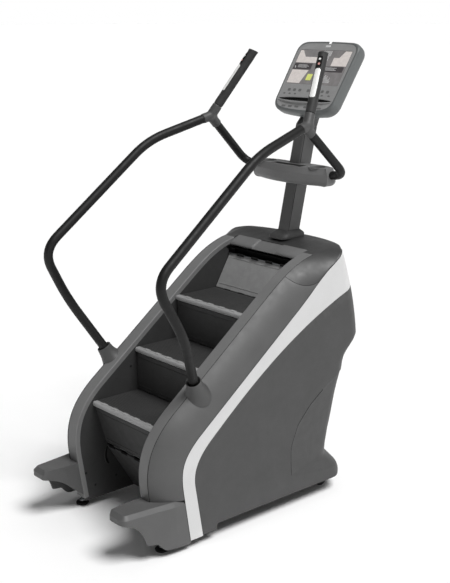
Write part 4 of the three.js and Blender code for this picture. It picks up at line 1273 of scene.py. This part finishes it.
def transport_wheel(name):
    """Tyre and spoked hub of one transport wheel."""
    node = f"{name}_transport_wheel"
    low_corner, high_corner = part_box(node)
    centre = (low_corner + high_corner) / 2
    spot = (centre.x * 1000, (centre.y - FEET_Y) * 1000, centre.z * 1000)
    tyre = lathe(f"{name}_tyre", [(-14, 22), (-14, 29), (-12, 32.5), (-8, 34.6), (0, 35), (8, 34.6),
                                  (12, 32.5), (14, 29), (14, 22)], spot, (1, 0, 0), 48)
    settled(rounded(tyre, 0, angle=40), node, "foot_rubber", node)
    hub = lathe("hub", [(-12.6, 6.6), (-12.6, 10), (-9, 12), (-8, 22.4), (8, 22.4), (9, 12),
                        (12.6, 10), (12.6, 6.6)], spot, (1, 0, 0), 36)
    spokes = [spoke(centre, spot, math.pi * k / 3) for k in range(6)]
    settled(rounded(joined(hub, *spokes), 0.3, 2, 40), node, "frame_black")


def feet_and_wheels():
    for name, _ in SIDES:
        levelling_foot(f"{name}_front_foot")
        levelling_foot(f"{name}_rear_foot")
        transport_wheel(name)


def keep_nodes():
    """The CAD nodes that stay, with softened edges and a real finish."""
    kept = {"base_frame": "frame_black", "control_box": "control_box_black", "upper_shaft": "steel",
            "lower_shaft": "steel", "brake_flywheel": "steel", "left_step_chain": "steel",
            "right_step_chain": "steel", "return_step_1": "step_black", "return_step_2": "step_black"}
    for name, slot in kept.items():
        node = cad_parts[name]
        node.data.materials.clear()
        node.data.materials.append(FINISHES[slot])
        edge = node.modifiers.new("edge", "BEVEL")
        edge.width = 0.0008
        edge.segments = 2
        edge.limit_method = "ANGLE"
        edge.angle_limit = math.radians(40)


# ---------------------------------------------------------------- mast and tray
MAST_LEAN = math.radians(12.5)
MAST_FOOT = (0, 993, 1040)
MAST_LENGTH = 690
MAST_HALF, MAST_DEEP_HALF = 33, 41


def mast_frame():
    """The mast's own frame: Z up along it."""
    return Matrix.Translation(MAST_FOOT) @ Matrix.Rotation(-MAST_LEAN, 4, "X")


def rounded_rect(half_x, half_y, radius, steps=6, centre=(0, 0)):
    corners = ((1, 1, 0), (-1, 1, 90), (-1, -1, 180), (1, -1, 270))
    points = []
    for sx, sy, start in corners:
        for k in range(steps + 1):
            a = math.radians(start + 90 * k / steps)
            points.append((centre[0] + sx * (half_x - radius) + radius * math.cos(a),
                           centre[1] + sy * (half_y - radius) + radius * math.sin(a)))
    return points


def mast_rings(outline, levels):
    matrix = mast_frame()
    return [[matrix @ Vector((x, y, z)) for x, y in outline] for z in levels]


def mast_bar(name, grow, radius):
    """A plain bar along the mast, used to cut room for it."""
    outline = rounded_rect(MAST_HALF + grow, MAST_DEEP_HALF + grow, radius)
    return loft(name, mast_rings(outline, [MAST_LENGTH * k / 4 for k in range(5)]))


def mast():
    """Mast in two half channels that meet in a dark seam just behind the front corners."""
    ring = rounded_rect(MAST_HALF, MAST_DEEP_HALF, 5, 8)
    seam_y, seam_half, seam_deep = 7.5 - MAST_DEEP_HALF, 2.2, 5
    outline = []
    for (x, y), (next_x, next_y) in zip(ring, ring[1:] + ring[:1]):
        outline.append((x, y))
        if (y - seam_y) * (next_y - seam_y) < 0 and abs(x - next_x) < 1:
            inside = x - math.copysign(seam_deep, x)
            first = math.copysign(seam_half, y - next_y)
            outline += [(x, seam_y + first), (inside, seam_y + first),
                        (inside, seam_y - first), (x, seam_y - first)]
    body = loft("mast_bar", mast_rings(outline, np.linspace(0, MAST_LENGTH, 12)))
    settled(rounded(body, 0.5, 2, 38), "frame", "mast_grey", "mast")


def mast_y(z):
    """Y of the mast's centre line at a height."""
    return (mast_frame() @ Vector((0, 0, (z - MAST_FOOT[2]) / math.cos(MAST_LEAN)))).y


def mast_boot():
    """Moulded boot where the mast leaves the hood."""
    base_y, base_z, height = 1018, 1188, 36
    rings = []
    for share, half_x, half_y, radius in ((0, 57, 73, 26), (0.1, 58.6, 74.6, 26), (0.3, 59, 75, 26),
                                          (0.5, 57, 72.6, 25), (0.68, 52, 66, 22), (0.82, 45, 56, 16),
                                          (0.93, 39, 48, 10), (1.0, 36.4, 44.8, 9), (1.02, 35.2, 43.6, 8)):
        z = base_z + height * share
        middle = mast_y(z) * share + base_y * (1 - share)
        rings.append([(x, middle + y, z) for x, y in rounded_rect(half_x, half_y, radius, 8)])
    for z in (base_z + height - 0.4, base_z + 4):
        rings.append([(x, mast_y(z) + y, z) for x, y in rounded_rect(34, 42.4, 6, 8)])
    boot = face_away(loft("boot", rings, closed_ends=False), (0, 1020, 1190))
    settled(rounded(boot, 0.8, 2, 50), "frame", "joint_grey", "mast_boot")


CUP_AT = (165, 1050)             # centre of a cup well, mirrored


def tray_plan():
    """The tray from above: rounded rear corners and a front edge that bows towards the user."""
    half = [(250, 1030), (250, 1080)] + bezier([(250, 1088), (212, 1127), (130, 1127)], 12)[1:]
    bow = bezier([(-250, 1030), (0, 925), (250, 1030)], 40)[1:-1]
    return half + [(-x, y) for x, y in reversed(half)] + bow


def shrunk(plan, inset):
    """The plan with each point moved inwards."""
    found = []
    for i, point in enumerate(plan):
        along = np.array(plan[(i + 1) % len(plan)]) - np.array(plan[i - 1])
        along = along / np.linalg.norm(along)
        found.append((point[0] - along[1] * inset, point[1] + along[0] * inset))
    return found


def tray():
    """Accessory tray round the mast with two cup wells and a shelf between them."""
    plan = tray_plan()
    rings = []
    for z, inset in ((1454, 26), (1455, 20), (1459, 11), (1466, 4), (1474, 1), (1481, 0), (1508, 0),
                     (1510, 0.4), (1536, 13), (1539.2, 15.5), (1540, 18)):
        rings.append([(x, y, z) for x, y in shrunk(plan, inset)])
    wells = [lathe("well", [(1466, 33), (1470, 37), (1530, 38), (1536, 39.5), (1545, 42)],
                   (side * CUP_AT[0], CUP_AT[1], 0), (0, 0, 1), 48) for _, side in SIDES]
    shelf = plate("shelf", rounded_rect(105, 22, 8, 6, (0, 1022)), 1518, 1560)
    slot = plate("slot", [(-34, 1080), (34, 1080), (34, 1200), (-34, 1200)], 1430, 1560)
    body = carved(loft("tray_body", rings), *wells, shelf, mast_bar("mast_room", 1.2, 5.5), slot)
    settled(rounded(body, 1.2, 3, 40), "frame", "tray_grey", "accessory_tray")
    for name, side in SIDES:
        cup_details(name, (side * CUP_AT[0], CUP_AT[1], 0))


def cup_details(name, spot):
    """The ring round a cup well, and the ribbed mat in it."""
    rim = lathe(f"{name}_cup_ring", [(1536, 39.2), (1540.2, 40.4), (1541.2, 42.2), (1540.6, 44.4),
                                     (1538.5, 44.6)], spot, (0, 0, 1), 56)
    settled(rounded(open_ends(rim), 0, angle=60), "frame", "tray_grey")
    mat = lathe(f"{name}_cup_mat", [(1466.4, 32), (1467.6, 32), (1468.4, 31), (1468.4, 24),
                                    (1467.4, 23.4), (1467.4, 14), (1468.4, 13.4), (1468.4, 1)],
                spot, (0, 0, 1), 40)
    settled(rounded(mat, 0, angle=40), "frame", "tray_grey", material=SHADOW)


def open_ends(piece):
    """Takes away a lathe's two end caps, so a ring stays a ring."""
    work = bmesh.new()
    work.from_mesh(piece.data)
    caps = [f for f in work.faces if len(f.verts) > 4]
    bmesh.ops.delete(work, geom=caps, context="FACES")
    work.to_mesh(piece.data)
    work.free()
    return thick(piece, 0.8)


# ---------------------------------------------------------------- console
CONSOLE_LEAN = math.radians(32.9)
CONSOLE_AT = (0, 1128, 1841)
CONSOLE_HALF, CONSOLE_LOW, CONSOLE_HIGH, CONSOLE_DEEP = 198, -72, 310, 68


def console_frame():
    """The console's own frame: X across its face (u), Y up it (v), Z out of it (w)."""
    up = Vector((0, math.sin(CONSOLE_LEAN), math.cos(CONSOLE_LEAN)))
    right = Vector((1, 0, 0))
    out = right.cross(up)
    turn = Matrix((right, up, out)).transposed().to_4x4()
    return Matrix.Translation(CONSOLE_AT) @ turn


def console_outline(inset, steps=14):
    """The console's outline as (u, v): straight sides, round upper corners, a chin that bows down."""
    half, low_v, high_v = CONSOLE_HALF - inset, CONSOLE_LOW + inset, CONSOLE_HIGH - 3.2 - inset
    chin, side_low = (half - 62, low_v + 10), (half - 6, low_v + 62)
    side_high, crown = (half, high_v - 60), (half - 56, high_v - 2)
    right = bezier([chin, (half - 12, low_v + 18), side_low], steps)
    right += list(resampled([side_low, side_high], 10)[1:])
    right += bezier([side_high, (half + 2, high_v - 6), crown], steps)[1:]
    top = bezier([crown, (0, high_v + 4), (-crown[0], crown[1])], steps)[1:-1]
    left = [(-u, v) for u, v in reversed(right)]
    bottom = bezier([(-chin[0], chin[1]), (0, low_v - 8), chin], steps)[1:-1]
    return [tuple(p) for p in right + top + left + bottom]


def on_console(points):
    matrix = console_frame()
    return [tuple(matrix @ Vector(p)) for p in points]


def console_plate(name, outline, w0, w1):
    """A flat piece on the console, between two heights above its face."""
    return loft(name, [on_console([(u, v, w) for u, v in outline]) for w in (w0, w1)])


def rect(u0, u1, v0, v1, radius=3):
    return rounded_rect((u1 - u0) / 2, (v1 - v0) / 2, radius, 5, ((u0 + u1) / 2, (v0 + v1) / 2))


def console():
    profile = [(9, 0.6), (7.4, 1.4), (4, 1.6), (0.6, 0.4), (-2.4, -3), (-4.4, -9), (-5, -18), (-4.6, -34),
               (-3, -48), (1, -58), (8, -64.5), (18, -67.4), (30, -68)]
    shell = loft("console_case", [on_console([(u, v, w) for u, v in console_outline(inset)])
                                  for inset, w in profile])
    room = console_plate("room", console_outline(8.2), -11, 20)
    settled(rounded(carved(shell, room, console_notch()), 0.8, 2, 40), "frame", "console_shell_grey",
            "console_shell")
    face = carved(console_plate("console_panel", console_outline(8.5), -10, 1.4), console_notch())
    window = console_plate("window", rect(-172.3, 172.3, 73.7, 262.3, 6), -20, 20)
    pocket = console_plate("pocket", ledge_outline(), -5, 20)
    settled(rounded(carved(face, window, pocket), 0.7, 2, 40), "frame", "console_face_grey", "console_face")
    screen = console_plate("console_window", rect(-171.8, 171.8, 74.2, 261.8, 5.6), -6, 0.8)
    settled(rounded(screen, 0.4, 2), "frame", "screen_glass", "console_screen")
    console_graphics()
    console_ledge()
    neck()


def console_notch():
    """The notch in the console's upper edge, with the wider recess behind it."""
    front = console_plate("notch", rect(-12, 12, CONSOLE_HIGH - 14, CONSOLE_HIGH + 40, 2), -14, 40)
    recess = console_plate("recess", rect(-70, 30, CONSOLE_HIGH - 14, CONSOLE_HIGH + 40, 8), -90, -7)
    return carved(front, recess, operation="UNION")


def ledge_outline():
    upper = bezier([(-178, -6), (-120, 8), (120, 8), (178, -6)], 30)
    lower = bezier([(178, -6), (120, -27), (-120, -27), (-178, -6)], 30)
    return [tuple(p) for p in upper + lower[1:-1]]


def console_ledge():
    """Curved pocket that holds a book or tablet, with its projecting lower lip; the pocket's floor is a
    near-black plate, painted shade.
    """
    # Painted shade: the pocket's floor in the near-black shadow finish.
    floor = console_plate("ledge_floor_shade", ledge_outline(), -7, -4.6)
    settled(rounded(floor, 0.3), "frame", "console_face_grey", material=SHADOW)
    matrix = console_frame()
    path = [tuple(matrix @ Vector((u, v - 3, 3.2 + 8 * (1 - (u / 176) ** 2)))) for u, v in
            resampled(bezier([(-172, -9), (-118, -25), (118, -25), (172, -9)], 30), 50)]
    rings = []
    for i, point in enumerate(path):
        share = abs(i / (len(path) - 1) * 2 - 1)
        out = Vector((matrix.to_3x3() @ Vector((0, 0, 1))))
        up = Vector((matrix.to_3x3() @ Vector((0, 1, 0))))
        depth = 3.2 + 8 * (1 - share ** 2)
        ring = []
        for k in range(16):
            a = 2 * math.pi * k / 16
            ring.append(tuple(Vector(point) - out * depth * 0.5 + out * math.cos(a) * (depth * 0.62 + 0.8)
                              + up * math.sin(a) * 3.4))
        rings.append(ring)
    settled(rounded(loft("ledge_lip", rings), 0, angle=60), "frame", "console_face_grey")


def decal(name, outline, tone, w=1.1):
    settled(console_plate(name, outline, w, w + 0.35), "frame", "screen_glass", material=PRINT_AND_REFLECTION[tone])


def console_graphics():
    """Cream patches of painted reflection on the screen, and generic bars, marks and keys; none of them is
    lettering.
    """
    # The three cream patches are painted reflections of the surroundings on the glass.
    decal("reflection_top_left", [(-168, 190), (-30, 190), (-30, 222), (-118, 222), (-150, 258), (-168, 258)],
          "cream")
    decal("reflection_low_left", [(-168, 78), (-84, 78), (-58, 150), (-168, 150)], "cream")
    decal("reflection_top_right", [(70, 178), (168, 178), (168, 258), (128, 258), (104, 222), (70, 222)],
          "cream")
    decal("bar_left", rect(-168, -50, 154, 186, 2), "dark")
    decal("bar_right", rect(30, 160, 146, 174, 2), "dark")
    decal("key_main", rect(-52, -18, 96, 130, 3), "key", 1.3)
    printed_marks()
    printed_figure()
    console_keys()


def printed_marks():
    """Plain strokes on the dark bars."""
    marks = [console_plate("mark", rect(2 * k - 160, 2 * k - 156, 166 - 3 * k, 172 - 3 * k, 1), 1.5, 1.8)
             for k in range(3)]
    for u, top in ((-140, 176), (44, 166)):
        for v in (top, top - 6, top - 12):
            marks.append(console_plate("mark", rect(u, u + 60 + (v % 4) * 6, v, v + 2.2, 0.8), 1.5, 1.8))
    settled(joined(*marks), "frame", "screen_glass", material=PRINT_AND_REFLECTION["pale"])


def printed_figure():
    """Columns of dots that rise and fall, and hanging bars above them."""
    dots = []
    for column, height in enumerate((2, 3, 5, 4, 6, 7, 5, 6, 4, 3, 5, 2)):
        for row in range(height):
            u, v = 36 + column * 6, 88 + row * 6
            dots.append(console_plate("dot", rect(u, u + 4, v, v + 4, 1), 1.1, 1.4))
    for column, height in enumerate((7, 5, 8, 3, 9, 6, 8, 4)):
        u = -10 + column * 7
        dots.append(console_plate("dot", rect(u, u + 3, 258 - height * 7, 258, 1), 1.1, 1.4))
    settled(joined(*dots), "frame", "screen_glass", material=PRINT_AND_REFLECTION["pale"])


def console_keys():
    """Three rows of raised keys, and a plain bar where the photo has a mark."""
    keys = []
    for places, half, low, high, radius, top in (
            ((-128, -92, -56, 0, 36, 92, 126), 9, 34, 48, 4, 2.2),
            ((-150, -114, -78, 56, 100, 144), 7, 16, 24, 3, 1.9),
            ((-118, -74, -30, 30, 74, 118), 13, -52, -42, 4, 2.2)):
        for u in places:
            keys.append(console_plate("key", rect(u - half, u + half, low, high, radius), 0.9, top))
    settled(rounded(joined(*keys), 0.4, 2), "frame", "console_face_grey", material=FINISHES["tray_grey"])
    badge = console_plate("badge", rect(-16, 16, 278, 288, 4), 0.9, 1.9)
    settled(rounded(badge, 0.4, 2), "frame", "console_face_grey", material=PRINT_AND_REFLECTION["pale"])


def neck():
    """Bracket that widens from the top of the mast to the console's back."""
    matrix = console_frame()
    mast_top = mast_frame() @ Vector((0, 0, MAST_LENGTH + GAP))
    reach = mast_frame().to_3x3() @ Vector((0, MAST_DEEP_HALF, 0))
    low_front, low_rear = mast_top - reach, mast_top + reach
    high_front = matrix @ Vector((0, -62, -CONSOLE_DEEP - GAP))
    high_rear = matrix @ Vector((0, 88, -CONSOLE_DEEP - GAP))
    rings = []
    for front, rear, half in ((low_front, low_rear, MAST_HALF), (high_front, high_rear, MAST_HALF + 17)):
        middle, way = (front + rear) / 2, (rear - front).normalized()
        ring = rounded_rect(half, (rear - front).length / 2, 7, 5)
        rings.append([tuple(middle + Vector((x, 0, 0)) + way * y) for x, y in ring])
    settled(rounded(loft("console_bracket", rings), 0, angle=45), "frame", "joint_grey", "console_neck")


# ---------------------------------------------------------------- stage
PHOTO_HIGH = 583                 # pixels, the photo's longer side
CAMERA_FOCUS = 1075.24           # pixels
SUN_FROM = (0.5, 0.02, 0.86)
SUN_POWER = 3.0
WORLD_DIM = 0.3
FRONT_DIM = 0.35                 # the light that comes from in front of the machine is weaker


def stage():
    """A plain pale floor."""
    size, cells = 400, 12
    mesh = bpy.data.meshes.new("floor")
    work = bmesh.new()
    bmesh.ops.create_grid(work, x_segments=cells, y_segments=cells, size=size / 2)
    work.to_mesh(mesh)
    work.free()
    floor = bpy.data.objects.new("floor", mesh)
    bpy.context.scene.collection.objects.link(floor)
    looks = Looks("floor", 0.9, specular=0.2)
    looks.colour(looks.ramp(looks.noise(3, 3), [(0.3, (0.98, 0.98, 0.98, 1)),
                                                (0.7, (0.99, 0.99, 0.99, 1))]))
    floor.data.materials.append(looks.material)


def world_light():
    """The world is bright at the horizon and dimmer overhead and in front; the camera sees it white."""
    world = bpy.data.worlds.new("studio")
    world.use_nodes = True
    nodes, links = world.node_tree.nodes, world.node_tree.links

    def fade(source, span, ends):
        ranged = nodes.new("ShaderNodeMapRange")
        for socket, value in zip(("From Min", "From Max", "To Min", "To Max"), (*span, *ends)):
            ranged.inputs[socket].default_value = value
        links.new(source, ranged.inputs["Value"])
        return ranged.outputs["Result"]

    way = nodes.new("ShaderNodeSeparateXYZ")
    links.new(nodes.new("ShaderNodeTexCoord").outputs["Generated"], way.inputs["Vector"])
    lit = nodes.new("ShaderNodeMath")
    lit.operation = "MULTIPLY"
    links.new(fade(way.outputs["Z"], (0.06, 0.2), (1.0, WORLD_DIM)), lit.inputs[0])
    links.new(fade(way.outputs["Y"], (-0.7, 0.3), (FRONT_DIM, 1.0)), lit.inputs[1])
    lighting, backdrop = nodes["Background"], nodes.new("ShaderNodeBackground")
    for shade in (lighting, backdrop):
        shade.inputs["Color"].default_value = (1, 1, 1, 1)
    links.new(lit.outputs["Value"], lighting.inputs["Strength"])
    choice = nodes.new("ShaderNodeMixShader")
    links.new(nodes.new("ShaderNodeLightPath").outputs["Is Camera Ray"], choice.inputs["Fac"])
    links.new(lighting.outputs["Background"], choice.inputs[1])
    links.new(backdrop.outputs["Background"], choice.inputs[2])
    links.new(choice.outputs["Shader"], nodes["World Output"].inputs["Surface"])
    bpy.context.scene.world = world


def studio():
    """Soft light all round, and a broad soft sun from above."""
    world_light()
    light = bpy.data.lights.new("sun", "SUN")
    light.energy = SUN_POWER
    light.angle = math.radians(28)
    holder = bpy.data.objects.new("sun", light)
    holder.rotation_euler = Vector(SUN_FROM).to_track_quat("Z", "Y").to_euler()
    bpy.context.scene.collection.objects.link(holder)
    view = bpy.context.scene.view_settings
    view.view_transform = "Standard"
    view.look = "None"


def camera():
    """The photo's own viewpoint and lens, as solved from the object's symmetry."""
    lens = bpy.data.cameras.new("camera")
    lens.sensor_width = 36
    lens.lens = CAMERA_FOCUS * lens.sensor_width / PHOTO_HIGH
    lens.clip_end = 1000
    holder = bpy.data.objects.new("camera", lens)
    holder.location = (3.644, -2.553 + FEET_Y, 2.231)
    holder.rotation_euler = (math.radians(75.502), 0, math.radians(48.907))
    bpy.context.scene.collection.objects.link(holder)
    bpy.context.scene.camera = holder


camera()
stage()
studio()
for label, hand in SIDES:
    border_trim(label, hand)
    shoulder(label, hand)
    stripe(label, hand)
    side_panel(label, hand)
    seams(label, hand)
    foot_cover(label, hand)
    inner_wall(label, hand)
    handrail(label, hand)
    y_joint(label, hand)
    grip(label, hand)
rear_panel()
hood()
lip()
stair()
feet_and_wheels()
keep_nodes()
mast()
mast_boot()
tray()
console()
